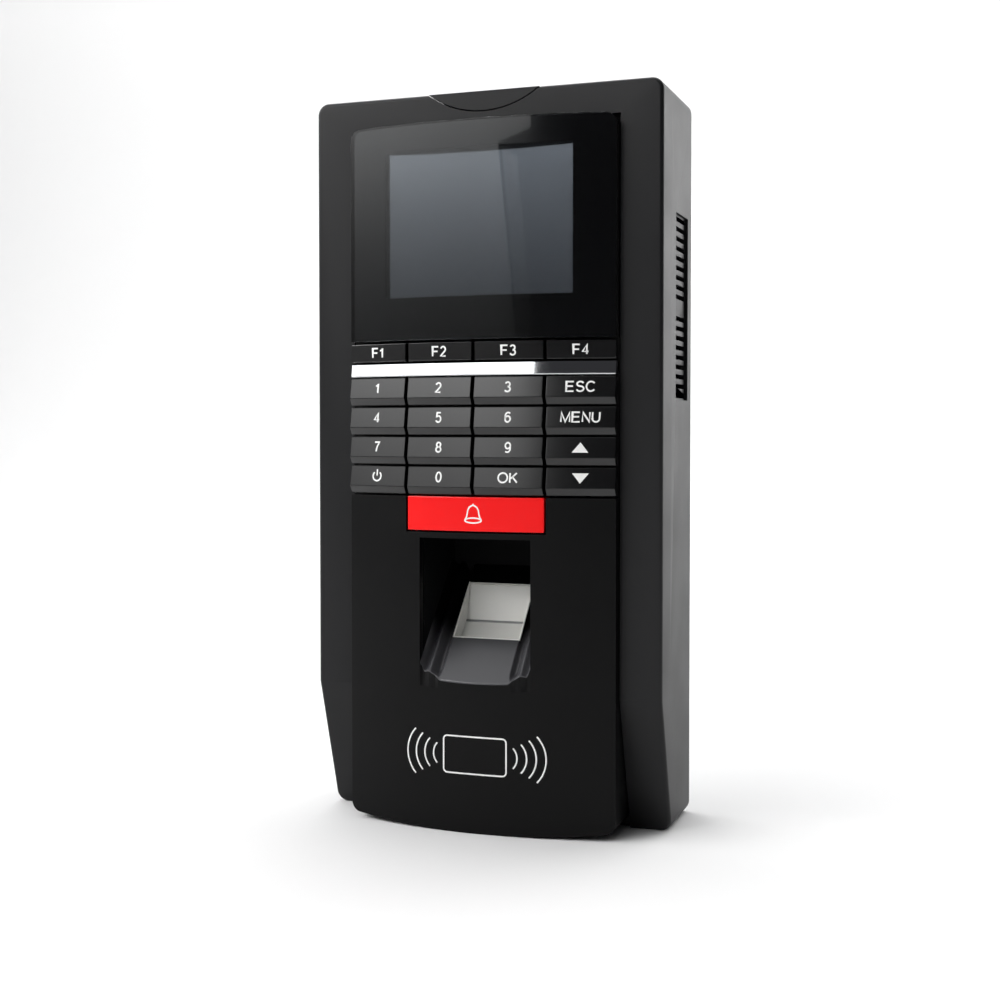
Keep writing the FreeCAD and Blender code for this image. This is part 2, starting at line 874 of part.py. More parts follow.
def leaning_crown(tilt, y, z):
    """The crown cylinder tipped by a tilt about its front line at height z.

    Its radius is divided by the tilt's cosine, so every level section keeps the crown's bow.
    """
    length = "case_height"
    radius = f"(({CROWN_RADIUS}) / cos({tilt}))"
    tube = doc.addObject("Part::Cylinder", "Lean")
    tube.Placement.Rotation = FreeCAD.Rotation(FreeCAD.Vector(1, 0, 0), 1)
    bind(tube, Radius=radius, Height=length)
    tube.setExpression("Placement.Rotation.Angle", formula(f"-({tilt})"))
    base_y = f"{y} + {radius} * cos({tilt}) - {length} / 2 * sin({tilt})"
    base_z = f"{z} - {radius} * sin({tilt}) - {length} / 2 * cos({tilt})"
    tube.setExpression("Placement.Base.y", formula(base_y))
    tube.setExpression("Placement.Base.z", formula(base_z))
    return tube


def make_key(name, x_mid, z_mid, x, z, row):
    """A hollow cap with a stem; a number key's face leans out downwards and then turns back in."""
    back = "key_floor - key_travel - key_spare"
    cap = block(x, (FAR_FRONT, back), z)
    if row is None:
        cap = common(cap, crown("0", ("0", "case_height")))
    else:
        high = row_edges(row)[1]
        rise = "key_face * tan(key_tilt)"
        turn = f"-atan(({rise}) / (row_pitch - row_gap - key_face))"
        face = leaning_crown("key_tilt", "-panel_crown", f"({high})")
        bevel = leaning_crown(turn, f"-panel_crown - ({rise})", f"({high}) - key_face")
        cap = common(cap, face, bevel)
    hollow = common(
        block(
            (f"{x[0]} + key_skin", f"{x[1]} - key_skin"),
            (FAR_FRONT, "key_floor"),
            (f"{z[0]} + key_skin", f"{z[1]} - key_skin"),
        ),
        crown("key_skin", ("0", "case_height")),
    )
    stem_end = f"{MAT_FACE} - key_travel - key_spare"
    stem = block(
        (f"({x_mid}) - stem_width / 2", f"({x_mid}) + stem_width / 2"),
        (FAR_FRONT, stem_end),
        (f"({z_mid}) - stem_height / 2", f"({z_mid}) + stem_height / 2"),
    )
    stem = common(stem, crown("key_skin / 2", ("0", "case_height")))
    return piece(name, fuse(cut(cap, hollow), stem))


def make_keypad():
    """The silicone sheet behind the keys and the switch board that backs it."""
    half = f"{HALF_PANEL} - shell_wall - stem_gap"
    z = ("bell_low", "lens_low - mat_top")
    sheet_back = KEYPAD_BOARD_FACE
    mat = cut(
        block(both_sides(half), (FLOOR_BACK, sheet_back), z),
        block(
            both_sides(f"{half} - mat_wall"),
            ("0", MAT_FACE),
            (f"{z[0]} + mat_wall / 2", f"{z[1]} - mat_gauge"),
        ),
    )
    piece("keypad_mat", mat)
    board = slab("keypad_board", both_sides(half), (sheet_back, f"{sheet_back} + board_gauge"), z)
    piece("keypad_board", board)


# ---------- finger reader ----------

def make_finger_well():
    """The black funnel behind the window; its sloping floor holds the sensor's prism."""
    half = "window_width / 2 + well_wall"
    outer = block(
        both_sides(half),
        ("well_front", "well_depth + well_wall"),
        ("0", "window_high + well_wall"),
    )
    reach = both_sides("case_height")
    above = slope_block(both_sides("case_width"), ("-case_height", "slope_gauge"), reach)
    hole = slope_block(
        both_sides("prism_width / 2 + prism_gap"),
        ("-past", "slope_gauge + past"),
        ("prism_low - prism_gap", "prism_low + prism_length + prism_gap"),
    )
    return piece("finger_well", cut(common(outer, above), finger_window(), hole))


def make_sensor():
    """The prism, its housing and its board, drawn on the slope."""
    top = "prism_low + prism_length"
    width = both_sides("prism_width / 2")
    prism = slab("sensor_prism", width, ("prism_sink", "prism_gauge"), ("prism_low", top))
    piece("sensor_prism", prism, lean=True)
    half = "prism_width / 2 + sensor_wall"
    z = ("prism_low - sensor_wall", f"{top} + sensor_wall")
    shell = block(both_sides(half), ("slope_gauge", "sensor_depth"), z)
    seat = block(width, ("0", "prism_gauge"), ("prism_low", top))
    light_path = block(
        both_sides("prism_width / 2 - sensor_rim"),
        ("prism_gauge - past", "sensor_depth + past"),
        ("prism_low + sensor_rim", f"{top} - sensor_rim"),
    )
    piece("sensor_housing", cut(shell, seat, light_path), lean=True)
    board_y = ("sensor_depth", "sensor_depth + sensor_board_gauge")
    board = slab("sensor_board", both_sides(half), board_y, z)
    piece("sensor_board", board, lean=True)
    centre = ("0", "prism_low + prism_length / 2")
    eye = fuse(
        rod("y", centre, ("sensor_depth - eye_height", "sensor_depth"), "eye_radius"),
        rod("y", centre, ("sensor_depth - barrel_height", "sensor_depth"), "barrel_radius"),
    )
    piece("sensor_camera", eye, lean=True)


# ---------- display ----------

def make_display():
    """The display module and the sheet-metal frame that clips it to the panel."""
    z = ("display_low", "display_high")
    half = "display_width / 2"
    back = "display_face + display_gauge"
    module = slab("display_module", both_sides(half), ("display_face", back), z)
    piece("display_module", module)
    outer = block(
        both_sides(f"{half} + frame_lip"),
        (FLOOR_BACK, FRAME_BACK),
        (f"{z[0]} - frame_lip", f"{z[1]} + frame_lip"),
    )
    pan = block(both_sides(half), (back, FRAME_BACK), z)
    hollow = block(
        both_sides(f"{half} - frame_wall"),
        (f"{back} + frame_floor", "case_depth"),
        (f"{z[0]} + frame_wall", f"{z[1]} - frame_wall"),
    )
    piece("display_frame", cut(fuse(outer, pan), hollow))


# ---------- main board and what it carries ----------

def make_boards():
    half = "main_board_width / 2"
    board = new_body("main_board")
    pad_front(
        board,
        lambda drawing: rectangle(drawing, both_sides(half), ("main_board_low", "main_board_high")),
        ("main_board_face", MAIN_BOARD_BACK),
    )
    for x in both_sides("board_screw_across"):
        for z in ("board_screw_low", "board_screw_high"):
            pocket_front(
                board,
                lambda drawing: disc(drawing, x, z, "screw_radius + head_play"),
                ("main_board_face - past", f"{MAIN_BOARD_BACK} + past"),
            )
    piece("main_board", board)
    antenna = cut(
        block(
            both_sides("antenna_width / 2"),
            ("antenna_face", "antenna_face + antenna_gauge"),
            ("antenna_low", "antenna_high"),
        ),
        block(
            both_sides("antenna_width / 2 - antenna_band"),
            ("0", "case_depth"),
            ("antenna_low + antenna_band", "antenna_high - antenna_band"),
        ),
    )
    piece("card_antenna", antenna)


# Chips on the main board: left edge, depth below the board's top, width, height and thickness.
FRONT_CHIPS = {
    "processor": [(-18.0, 36.0, 17.0, 17.0, 1.4)],
    "memory_chips": [(4.0, 34.0, 10.0, 13.0, 1.2), (17.0, 34.0, 10.0, 13.0, 1.2)],
}
REAR_CHIPS = {
    "lock_relay": [(-22.0, 30.0, 19.0, 15.0, 10.5)],
    "network_transformer": [(4.0, 40.0, 16.0, 12.0, 6.0)],
}
# Round parts on the main board: x and depth below the board's top.
CELL_PLACE = ("-20", "main_board_high - 48")
CAN_PLACES = [("8", "main_board_high - 21"), ("17", "main_board_high - 21")]


def make_board_parts():
    """Chips, a coin cell, cans and wire headers, soldered to the front or the rear."""
    for chips, rear in ((FRONT_CHIPS, False), (REAR_CHIPS, True)):
        for label, places in chips.items():
            solids = [chip(*place, rear) for place in places]
            piece(label, gather(*solids))
    cell = rod("y", CELL_PLACE, ("main_board_face - cell_height", "main_board_face"), "cell_radius")
    piece("clock_battery", gather(cell))
    behind = (MAIN_BOARD_BACK, f"{MAIN_BOARD_BACK} + can_height")
    cans = [rod("y", place, behind, "can_radius") for place in CAN_PLACES]
    piece("smoothing_capacitors", gather(*cans))
    count = int(SIZES["header_count"])
    headers = [wire_header(f"({2 * step - count + 1} * header_pitch / 2)") for step in range(count)]
    piece("wire_headers", gather(*headers))


def chip(left, below, width, height, gauge, rear):
    """A flat part on the front or the rear of the main board."""
    top = f"main_board_high - {below - height}"
    y = (f"main_board_face - {gauge}", "main_board_face")
    if rear:
        y = (MAIN_BOARD_BACK, f"{MAIN_BOARD_BACK} + {gauge}")
    return block((f"{left}", f"{left + width}"), y, (f"{top} - {height}", top))


def wire_header(x):
    """An open-topped connector that faces the cable opening."""
    z = ("cable_low + cable_rise", "cable_low + cable_rise + header_height")
    box = block(
        (f"{x} - header_width / 2", f"{x} + header_width / 2"),
        (MAIN_BOARD_BACK, f"{MAIN_BOARD_BACK} + header_depth"),
        z,
    )
    well = block(
        (f"{x} - header_width / 2 + header_wall", f"{x} + header_width / 2 - header_wall"),
        (f"{MAIN_BOARD_BACK} + header_floor", f"{MAIN_BOARD_BACK} + header_depth + past"),
        (f"{z[0]} + header_wall", f"{z[1]} - header_wall"),
    )
    return cut(box, well)


def make_usb():
    """A receptacle that opens upwards, under the crescent cover."""
    top = USB_TOP
    y = (USB_FACE, "main_board_face")
    can = block(both_sides("usb_width / 2"), y, (f"{top} - usb_length", top))
    mouth = block(
        both_sides("usb_width / 2 - usb_wall"),
        (f"{y[0]} + usb_wall", f"{y[1]} - usb_wall"),
        (f"{top} - usb_length + usb_floor", f"{top} + past"),
    )
    tongue = block(
        both_sides("usb_width / 2 - tongue_inset"),
        (f"{y[0]} + tongue_front", f"{y[0]} + tongue_front + tongue_gauge"),
        (f"{top} - usb_length + usb_floor / 2", f"{top} - tongue_inset"),
    )
    piece("usb_socket", fuse(cut(can, mouth), tongue))


def make_port_cover():
    """The crescent plug that fills the notch in the top edge."""
    depth = (WING, "notch_back - notch_gap")
    blade = rod("y", ("0", NOTCH_CENTRE), depth, "notch_radius - notch_gap")
    below = block(both_sides("case_width"), (FAR_FRONT, "case_depth"), ("0", "case_height"))
    piece("port_cover", common(blade, below))


def make_speaker():
    """A small loudspeaker behind one bank of side slots."""
    level = "(vent_low + vent_high) / 2"
    wall = "case_width / 2 - shell_wall"
    depth = "(vent_front + vent_back) / 2"
    back = f"{wall} - speaker_height"
    basket = rod("x", (depth, level), (back, wall), "speaker_radius")
    magnet = rod("x", (depth, level), (f"{back} - magnet_height", back), "magnet_radius")
    piece("speaker", fuse(basket, magnet))


# ---------- wall plate and screws ----------

def make_wall_plate():
    """The steel plate that is screwed to the wall, with a bent tab for the security screw."""
    body = new_body("wall_plate")
    y = ("case_depth - plate_gauge", "case_depth")
    pad_front(
        body,
        lambda drawing: rectangle(drawing, both_sides("plate_width / 2"), ("plate_low", "plate_high")),
        y,
    )
    tab = ("plate_low", "plate_low + plate_gauge")
    pad_front(
        body,
        lambda drawing: rectangle(drawing, both_sides("hook_width / 2"), tab),
        (f"{TUB_FLOOR} + hook_gap", y[0]),
    )
    deep = (f"{y[0]} - past", f"{y[1]} + past")
    for x in both_sides("fixing_width / 2"):
        for z in ("fixing_height - fixing_span / 2", "fixing_height + fixing_span / 2"):
            pocket_front(body, lambda drawing: disc(drawing, x, z, "fixing_bore"), deep)
    pocket_front(body, cable_opening, deep)
    drawing = sketch(body, "XY_Plane", "0")
    disc(drawing, "0", SECURITY_DEPTH, "screw_radius")
    extrude(body, "Pocket", drawing, "plate_low + plate_gauge + past", flip=True)
    return piece("wall_plate", body)


def screw(axis, centre, seat, head_way, length, thread="screw_radius"):
    """A pan-head screw; seat is where its head bears and head_way is the side the head is on."""
    inner = (f"{seat} - ({length})", seat) if head_way > 0 else (seat, f"{seat} + ({length})")
    outer = (seat, f"{seat} + head_height") if head_way > 0 else (f"{seat} - head_height", seat)
    return fuse(rod(axis, centre, inner, thread), rod(axis, centre, outer, "head_radius"))


def make_screws():
    shell = []
    for x in both_sides("screw_across"):
        for z in ("screw_low", "screw_high"):
            shell.append(screw("y", (x, z), "boss_split + seat_gauge", 1, "shell_screw_length"))
    piece("shell_screws", gather(*shell))
    board = []
    for x in both_sides("board_screw_across"):
        for z in ("board_screw_low", "board_screw_high"):
            board.append(
                screw("y", (x, z), "main_board_face", -1, "board_screw_length", "pilot_radius")
            )
    piece("board_screws", gather(*board))
    seat = "head_height + screw_sink"
    piece("security_screw", screw("z", ("0", SECURITY_DEPTH), seat, -1, "security_screw_length"))


# ---------- flexible leads ----------

def make_leads():
    """Flat leads from each unit to the main board, as bent strips."""
    face = "main_board_face"
    half = both_sides("lead_width / 2")
    foot = "display_low - lead_hang"
    display = fuse(
        block(half, (FRAME_BACK, f"{FRAME_BACK} + film_gauge"), (foot, "display_low + lead_reach")),
        block(half, (FRAME_BACK, face), (foot, f"{foot} + film_gauge")),
    )
    piece("display_lead", display)
    x = ("keypad_lead_left", "keypad_lead_left + keypad_lead_width")
    level = "bell_low + keypad_lead_rise"
    board_back = f"{KEYPAD_BOARD_FACE} + board_gauge"
    lead = slab("keypad_lead", x, (board_back, face), (level, f"{level} + film_gauge"))
    piece("keypad_lead", lead)
    top = "(prism_low + prism_length + sensor_wall)"
    low = f"lip_level - sensor_depth * sin(slope_lean) + {top} * cos(slope_lean)"
    start = f"lip_front + sensor_depth * cos(slope_lean) + {top} * sin(slope_lean)"
    run = (start, f"{start} + film_gauge")
    half = both_sides("sensor_lead_width / 2")
    level = "main_board_low + sensor_lead_rise"
    sensor = fuse(
        block(half, run, (low, level)),
        block(half, (MAIN_BOARD_BACK, run[1]), (f"{level} - film_gauge", level)),
    )
    piece("sensor_lead", sensor)


make_front_shell()
make_rear_shell()
make_panel()
make_lens()
make_strip()
for key in KEYS:
    make_key(*key)
make_keypad()
make_finger_well()
make_sensor()
make_display()
make_boards()
make_board_parts()
make_usb()
make_port_cover()
make_speaker()
make_wall_plate()
make_screws()
make_leads()
doc.recompute()

broken = [thing.Label for thing in doc.Objects if {"Invalid", "Error"} & set(thing.State)]
for thing in PIECES:
    if thing.Shape.isNull() or not thing.Shape.isValid() or thing.Shape.Volume < 0.1:
        broken.append(thing.Label)
if broken:
    raise SystemExit(f"these did not build: {broken}")

os.makedirs("parts", exist_ok=True)
for thing in PIECES:
    thing.Shape.exportStep(f"parts/{thing.Label}.step")
    size = thing.Shape.BoundBox
    print(f"{thing.Label}: {len(thing.Shape.Solids)} solid(s), {thing.Shape.Volume:.1f} mm3,"
          f" {size.XLength:.1f} x {size.YLength:.1f} x {size.ZLength:.1f} mm")
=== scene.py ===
# %% [markdown]
# # Fingerprint terminal
#
# A wall terminal has two plastic half shells, a bowed centre panel with a bent window, keys and a
# finger well, and electronics behind them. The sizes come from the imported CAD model, which is
# loaded as a fixed frame. Blender then gives each part the eased edges, prints, grain and gloss
# that the real one has.

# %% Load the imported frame
import json
import math
import bmesh
import bpy
from mathutils import Matrix, Vector
from mathutils.bvhtree import BVHTree

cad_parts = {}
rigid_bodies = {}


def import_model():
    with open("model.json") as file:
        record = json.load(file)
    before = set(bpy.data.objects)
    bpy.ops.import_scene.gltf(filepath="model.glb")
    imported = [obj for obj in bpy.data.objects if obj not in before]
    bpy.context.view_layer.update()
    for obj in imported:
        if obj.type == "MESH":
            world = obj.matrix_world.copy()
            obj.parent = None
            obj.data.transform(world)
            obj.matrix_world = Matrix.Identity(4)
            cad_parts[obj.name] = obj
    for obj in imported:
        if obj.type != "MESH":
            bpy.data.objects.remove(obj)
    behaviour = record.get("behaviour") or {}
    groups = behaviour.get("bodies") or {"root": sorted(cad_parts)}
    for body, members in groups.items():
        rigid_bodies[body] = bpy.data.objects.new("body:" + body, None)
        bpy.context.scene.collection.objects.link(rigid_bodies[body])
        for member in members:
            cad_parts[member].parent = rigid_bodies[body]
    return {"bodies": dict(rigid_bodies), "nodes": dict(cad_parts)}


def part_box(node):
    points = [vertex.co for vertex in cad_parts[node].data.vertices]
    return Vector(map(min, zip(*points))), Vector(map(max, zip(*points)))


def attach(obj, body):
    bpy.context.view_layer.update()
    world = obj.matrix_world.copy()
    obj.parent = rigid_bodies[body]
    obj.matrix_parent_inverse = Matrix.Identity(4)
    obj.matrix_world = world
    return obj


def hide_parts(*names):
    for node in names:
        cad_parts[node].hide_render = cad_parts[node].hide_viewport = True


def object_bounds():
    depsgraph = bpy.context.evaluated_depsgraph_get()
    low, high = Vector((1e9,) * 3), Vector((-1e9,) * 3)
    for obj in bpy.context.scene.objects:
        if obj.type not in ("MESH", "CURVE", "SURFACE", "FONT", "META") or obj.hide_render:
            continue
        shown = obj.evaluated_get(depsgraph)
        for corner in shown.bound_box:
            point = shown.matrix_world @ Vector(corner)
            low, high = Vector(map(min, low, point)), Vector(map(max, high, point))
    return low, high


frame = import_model()
cad_low, cad_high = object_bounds()
MM = 0.001

# %% [markdown]
# ## Camera
#
# The object stands on a table and is seen from the right, from just above its middle. A real
# product shot keeps its uprights upright with a shift lens, so a small shift frames the object
# and the camera hardly tilts.

# %% Camera
lens_data = bpy.data.cameras.new("camera")
lens_data.lens = 52.12
lens_data.sensor_width = 36.0
lens_data.shift_x = 0.0029
lens_data.shift_y = -0.0320
camera = bpy.data.objects.new("camera", lens_data)
camera.location = (0.12655, -0.37504, 0.00806)
camera.rotation_euler = [math.radians(turn) for turn in (88.455, 0.0, 19.687)]
bpy.context.scene.collection.objects.link(camera)
bpy.context.scene.camera = camera
bpy.context.scene.view_settings.view_transform = "Standard"

# %% [markdown]
# ## Nodes and colours
#
# Every finish below is a small node tree. Two helpers are enough: one turns an sRGB hex code into
# the linear colour that a shader works with, the other adds a node, sets it and links it.

# %% Colour and node helpers


def linear(code, alpha=1.0):
    """A hex sRGB code such as '1c1d1f' as a linear colour."""
    steps = [int(code[i:i + 2], 16) / 255 for i in (0, 2, 4)]
    light = [s / 12.92 if s <= 0.04045 else ((s + 0.055) / 1.055) ** 2.4 for s in steps]
    return (*light, alpha)


def add_node(tree, kind, inputs=(), **settings):
    """Adds a node; inputs are pairs of a socket and its value or the output linked to it."""
    made = tree.nodes.new(kind)
    for name, value in settings.items():
        setattr(made, name, value)
    for socket, value in inputs:
        if isinstance(value, bpy.types.NodeSocket):
            tree.links.new(value, made.inputs[socket])
        else:
            made.inputs[socket].default_value = value
    return made


def start_material(name):
    """A material, its tree, its shader and the object's own coordinates."""
    material = bpy.data.materials.new(name)
    material.use_nodes = True
    tree = material.node_tree
    place = add_node(tree, "ShaderNodeTexCoord").outputs["Object"]
    return material, tree, tree.nodes["Principled BSDF"], place


def set_sockets(shader, **values):
    """Sets the shader's own sockets; an underscore in a name stands for a space."""
    for name, value in values.items():
        shader.inputs[name.replace("_", " ")].default_value = value


# %% [markdown]
# ## Moulded plastic
#
# Most of the case is injection-moulded ABS. The mould is spark-eroded, which leaves an even, fine
# grain: it scatters the highlight into a soft sheen. The grain is noise at the size of its pits,
# turned into bump, and a second, broad noise varies the colour and roughness as handling does.

# %% Moulded plastics


def moulded(name, dark, light, roughness, grain, depth, ior=1.54, level=0.5):
    """Moulded plastic; grain is the pit size and depth the pit depth, both in millimetres."""
    material, tree, shader, place = start_material(name)
    broad = add_node(
        tree, "ShaderNodeTexNoise", [("Vector", place), ("Scale", 1 / (22 * MM)), ("Detail", 3.0)]
    )
    blend = add_node(
        tree,
        "ShaderNodeMix",
        [("Factor", broad.outputs["Fac"]), (6, linear(dark)), (7, linear(light))],
        data_type="RGBA",
    )
    tree.links.new(blend.outputs[2], shader.inputs["Base Color"])
    sheen = add_node(
        tree,
        "ShaderNodeMapRange",
        [
            ("Value", broad.outputs["Fac"]),
            ("From Min", 0.3),
            ("From Max", 0.7),
            ("To Min", roughness * 0.93),
            ("To Max", roughness * 1.07),
        ],
    )
    tree.links.new(sheen.outputs["Result"], shader.inputs["Roughness"])
    pits = add_node(
        tree, "ShaderNodeTexNoise", [("Vector", place), ("Scale", 1 / (grain * MM)), ("Detail", 2.0)]
    )
    bump = add_node(
        tree,
        "ShaderNodeBump",
        [("Height", pits.outputs["Fac"]), ("Distance", depth * MM), ("Strength", 0.6)],
    )
    tree.links.new(bump.outputs["Normal"], shader.inputs["Normal"])
    set_sockets(shader, IOR=ior, Specular_IOR_Level=level)
    return material


case_abs = moulded("moulded_abs_spark_grain", "0b0b0d", "0f0f11", 0.46, 0.35, 0.012, level=0.26)
panel_abs = moulded("moulded_abs_satin_panel", "060607", "090909", 0.42, 0.25, 0.005, level=0.12)
key_abs = moulded("moulded_abs_keycap_satin", "09090a", "0d0d0e", 0.24, 0.2, 0.003)
red_abs = moulded("moulded_abs_red_gloss", "f2080c", "f80d10", 0.3, 0.2, 0.002, level=0.3)
well_abs = moulded("moulded_abs_well_dead_matt", "060607", "08080a", 0.75, 0.5, 0.02, level=0.1)
ramp_abs = moulded("moulded_abs_ramp_satin_painted_shade", "434346", "4b4b4e", 0.32, 0.3, 0.004)
# Painted light: the prism holder is pale for the light that a glass prism shows in its faces.
prism_painted_light_abs = moulded("prism_holder_pale_painted_light", "e0dfd9", "e8e7e2", 0.4, 0.4, 0.004)
relay_pbt = moulded("moulded_pbt_relay_case", "1b4a8c", "2156a0", 0.35, 0.3, 0.004)
nylon = moulded("moulded_nylon_header", "2f7d44", "37894d", 0.4, 0.3, 0.004)
chip_epoxy = moulded("moulded_epoxy_chip_case", "1a1a1c", "222224", 0.5, 0.15, 0.006)
grey_silicone = moulded("moulded_silicone_key_sheet", "8e9092", "989a9c", 0.55, 0.4, 0.006, ior=1.41)
print("moulded plastics:", len(bpy.data.materials))

# %% [markdown]
# ## Clear window and its print
#
# The window is an extruded acrylic sheet, bent while hot and polished. Acrylic refracts at 1.49.
# Its border is screen-printed black ink on the inner face, so it looks as glossy as the rest.

# %% Acrylic, ink and glass


def polished(name, colour, ior, transmission, roughness=0.02):
    """Clear or inked sheet with a polished face and a very faint wave from forming."""
    material, tree, shader, place = start_material(name)
    wave = add_node(
        tree, "ShaderNodeTexNoise", [("Vector", place), ("Scale", 1 / (40 * MM)), ("Detail", 1.0)]
    )
    bump = add_node(
        tree,
        "ShaderNodeBump",
        [("Height", wave.outputs["Fac"]), ("Distance", 0.05 * MM), ("Strength", 0.25)],
    )
    tree.links.new(bump.outputs["Normal"], shader.inputs["Normal"])
    smear = add_node(
        tree,
        "ShaderNodeMapRange",
        [("Value", wave.outputs["Fac"]), ("To Min", roughness), ("To Max", roughness * 2)],
    )
    tree.links.new(smear.outputs["Result"], shader.inputs["Roughness"])
    set_sockets(shader, Base_Color=linear(colour), IOR=ior, Transmission_Weight=transmission)
    return material


clear_acrylic = polished("polished_acrylic_window", "e9edf0", 1.49, 1.0)
border_ink = polished("screen_printed_black_ink", "040405", 1.5, 0.0, 0.1)
panel_glass = polished("display_polariser_film", "7d8085", 1.5, 0.0, 0.09)
set_sockets(panel_glass.node_tree.nodes["Principled BSDF"], Metallic=0.85)
clear_glass = polished("polished_optical_glass", "f2f4f2", 1.52, 0.0, 0.01)
set_sockets(clear_glass.node_tree.nodes["Principled BSDF"], Alpha=0.08)
# Painted shade: a black sliver draws the dark line where the prism's two pale faces meet.
prism_seam_painted_shade = polished("prism_seam_black_painted_shade", "1c1c1c", 1.5, 0.0, 0.3)
eye_glass = polished("ground_glass_camera_lens", "10131c", 1.6, 0.3, 0.02)

# %% [markdown]
# ## Metals
#
# The trim strip is ABS plated with bright chromium, which mirrors the room. The wall plate is
# zinc-coated sheet, whose crystals show as a faint spangle. Screws and the connector's can are
# plated steel. All are fully metallic, so their base colour is the colour of their reflection.

# %% Metals


def metal(name, colour, roughness, grain, depth, spread=0.06):
    """A plated or coated metal; grain is the size of its crystals or marks in millimetres."""
    material, tree, shader, place = start_material(name)
    cells = add_node(tree, "ShaderNodeTexVoronoi", [("Vector", place), ("Scale", 1 / (grain * MM))])
    shade = add_node(tree, "ShaderNodeSeparateColor", [("Color", cells.outputs["Color"])])
    rough = add_node(
        tree,
        "ShaderNodeMapRange",
        [
            ("Value", shade.outputs[0]),
            ("To Min", max(0.02, roughness - spread)),
            ("To Max", roughness + spread),
        ],
    )
    tree.links.new(rough.outputs["Result"], shader.inputs["Roughness"])
    scratch = add_node(
        tree,
        "ShaderNodeTexNoise",
        [("Vector", place), ("Scale", 1 / (0.5 * grain * MM)), ("Detail", 2.0)],
    )
    bump = add_node(
        tree,
        "ShaderNodeBump",
        [("Height", scratch.outputs["Fac"]), ("Distance", depth * MM), ("Strength", 0.4)],
    )
    tree.links.new(bump.outputs["Normal"], shader.inputs["Normal"])
    set_sockets(shader, Base_Color=linear(colour), Metallic=1.0)
    return material


chrome = metal("bright_chrome_plated_abs", "e4e6e8", 0.05, 9.0, 0.01, spread=0.02)
zinc_sheet = metal("zinc_coated_sheet_steel", "b4b8bb", 0.34, 3.5, 0.006, spread=0.12)
screw_steel = metal("nickel_plated_screw_steel", "b9bbbd", 0.24, 0.4, 0.004)
can_steel = metal("tin_plated_connector_steel", "c4c6c8", 0.22, 1.2, 0.003)
aluminium = metal("drawn_aluminium_can", "c8cacc", 0.28, 0.8, 0.003)
gold_pad = metal("gold_plated_copper_pad", "d9a647", 0.22, 0.5, 0.002)
print("materials:", len(bpy.data.materials))

# %% [markdown]
# ## Boards and films
#
# A circuit board is glass-epoxy laminate with copper tracks under a green solder mask. Tracks run
# straight and turn square, so the edges of square Voronoi cells draw them, as a slightly lighter,
# raised line about 0.3 mm wide.

# %% Boards and films


def track_board(name, mask, track, pitch):
    """Solder mask over copper tracks; pitch is the tracks' mean spacing in millimetres."""
    material, tree, shader, place = start_material(name)
    cells = add_node(
        tree,
        "ShaderNodeTexVoronoi",
        [("Vector", place), ("Scale", 1 / (pitch * MM)), ("Randomness", 0.75)],
        feature="F1",
        distance="CHEBYCHEV",
    )
    rings = add_node(
        tree, "ShaderNodeMath", [(0, cells.outputs["Distance"]), (1, 9.0)], operation="MULTIPLY"
    )
    saw = add_node(tree, "ShaderNodeMath", [(0, rings.outputs[0]), (1, 1.0)], operation="PINGPONG")
    line = add_node(
        tree,
        "ShaderNodeMapRange",
        [("Value", saw.outputs[0]), ("From Min", 0.35), ("From Max", 0.5)],
    )
    blend = add_node(
        tree,
        "ShaderNodeMix",
        [("Factor", line.outputs["Result"]), (6, linear(mask)), (7, linear(track))],
        data_type="RGBA",
    )
    tree.links.new(blend.outputs[2], shader.inputs["Base Color"])
    bump = add_node(
        tree,
        "ShaderNodeBump",
        [("Height", line.outputs["Result"]), ("Distance", 0.035 * MM), ("Strength", 0.7)],
    )
    tree.links.new(bump.outputs["Normal"], shader.inputs["Normal"])
    set_sockets(shader, Roughness=0.28, IOR=1.55)
    return material


green_board = track_board("green_solder_mask_board", "0f4a2a", "1c6b3d", 4.5)
antenna_board = track_board("black_solder_mask_board", "15181b", "2a2f33", 2.4)
film = track_board("polyimide_film_lead", "a8601c", "c98232", 1.5)

# %% [markdown]
# ## Moulded shapes
#
# The CAD parts have the right size but razor edges and loose triangles. A real moulding has a
# small radius on every edge, because molten plastic does not fill a sharp corner, and that radius
# catches the light. Each outer part is therefore copied, welded, freed of flat triangle edges and
# given a narrow bevel. Weighted normals keep its flat faces flat.

# %% Helpers for pieces


def as_mesh(work, name):
    """Ends a working mesh as plain mesh data."""
    mesh = bpy.data.meshes.new(name)
    work.to_mesh(mesh)
    work.free()
    return mesh


def in_scene(name, data):
    """Puts mesh data in the scene as a piece."""
    thing = bpy.data.objects.new(name, data)
    bpy.context.scene.collection.objects.link(thing)
    return thing


def skirt(work, first, second):
    """Joins two equal rings of corners with a band of faces."""
    count = len(first)
    for step in range(count):
        after = (step + 1) % count
        work.faces.new((first[after], first[step], second[step], second[after]))


def settle(thing):
    """Makes the modifiers' result the piece's own plain mesh."""
    graph = bpy.context.evaluated_depsgraph_get()
    made = bpy.data.meshes.new_from_object(thing.evaluated_get(graph))
    thing.modifiers.clear()
    thing.data = made
    return thing


def welded(node):
    """A copy of a CAD node's mesh with its doubles merged and its flat faces joined."""
    work = bmesh.new()
    work.from_mesh(frame["nodes"][node].data)
    bmesh.ops.remove_doubles(work, verts=work.verts, dist=0.002 * MM)
    bmesh.ops.dissolve_limit(
        work, angle_limit=math.radians(0.5), verts=work.verts, edges=work.edges
    )
    return as_mesh(work, node)


CROWN_RADIUS = 138.5 * MM
CROWN_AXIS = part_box("display_lens")[0].y + CROWN_RADIUS


def crown_y(x, inset=0.0):
    """Depth of the panel's bowed face at x, or of a face set in behind it."""
    return CROWN_AXIS - math.sqrt((CROWN_RADIUS - inset) ** 2 - x ** 2)


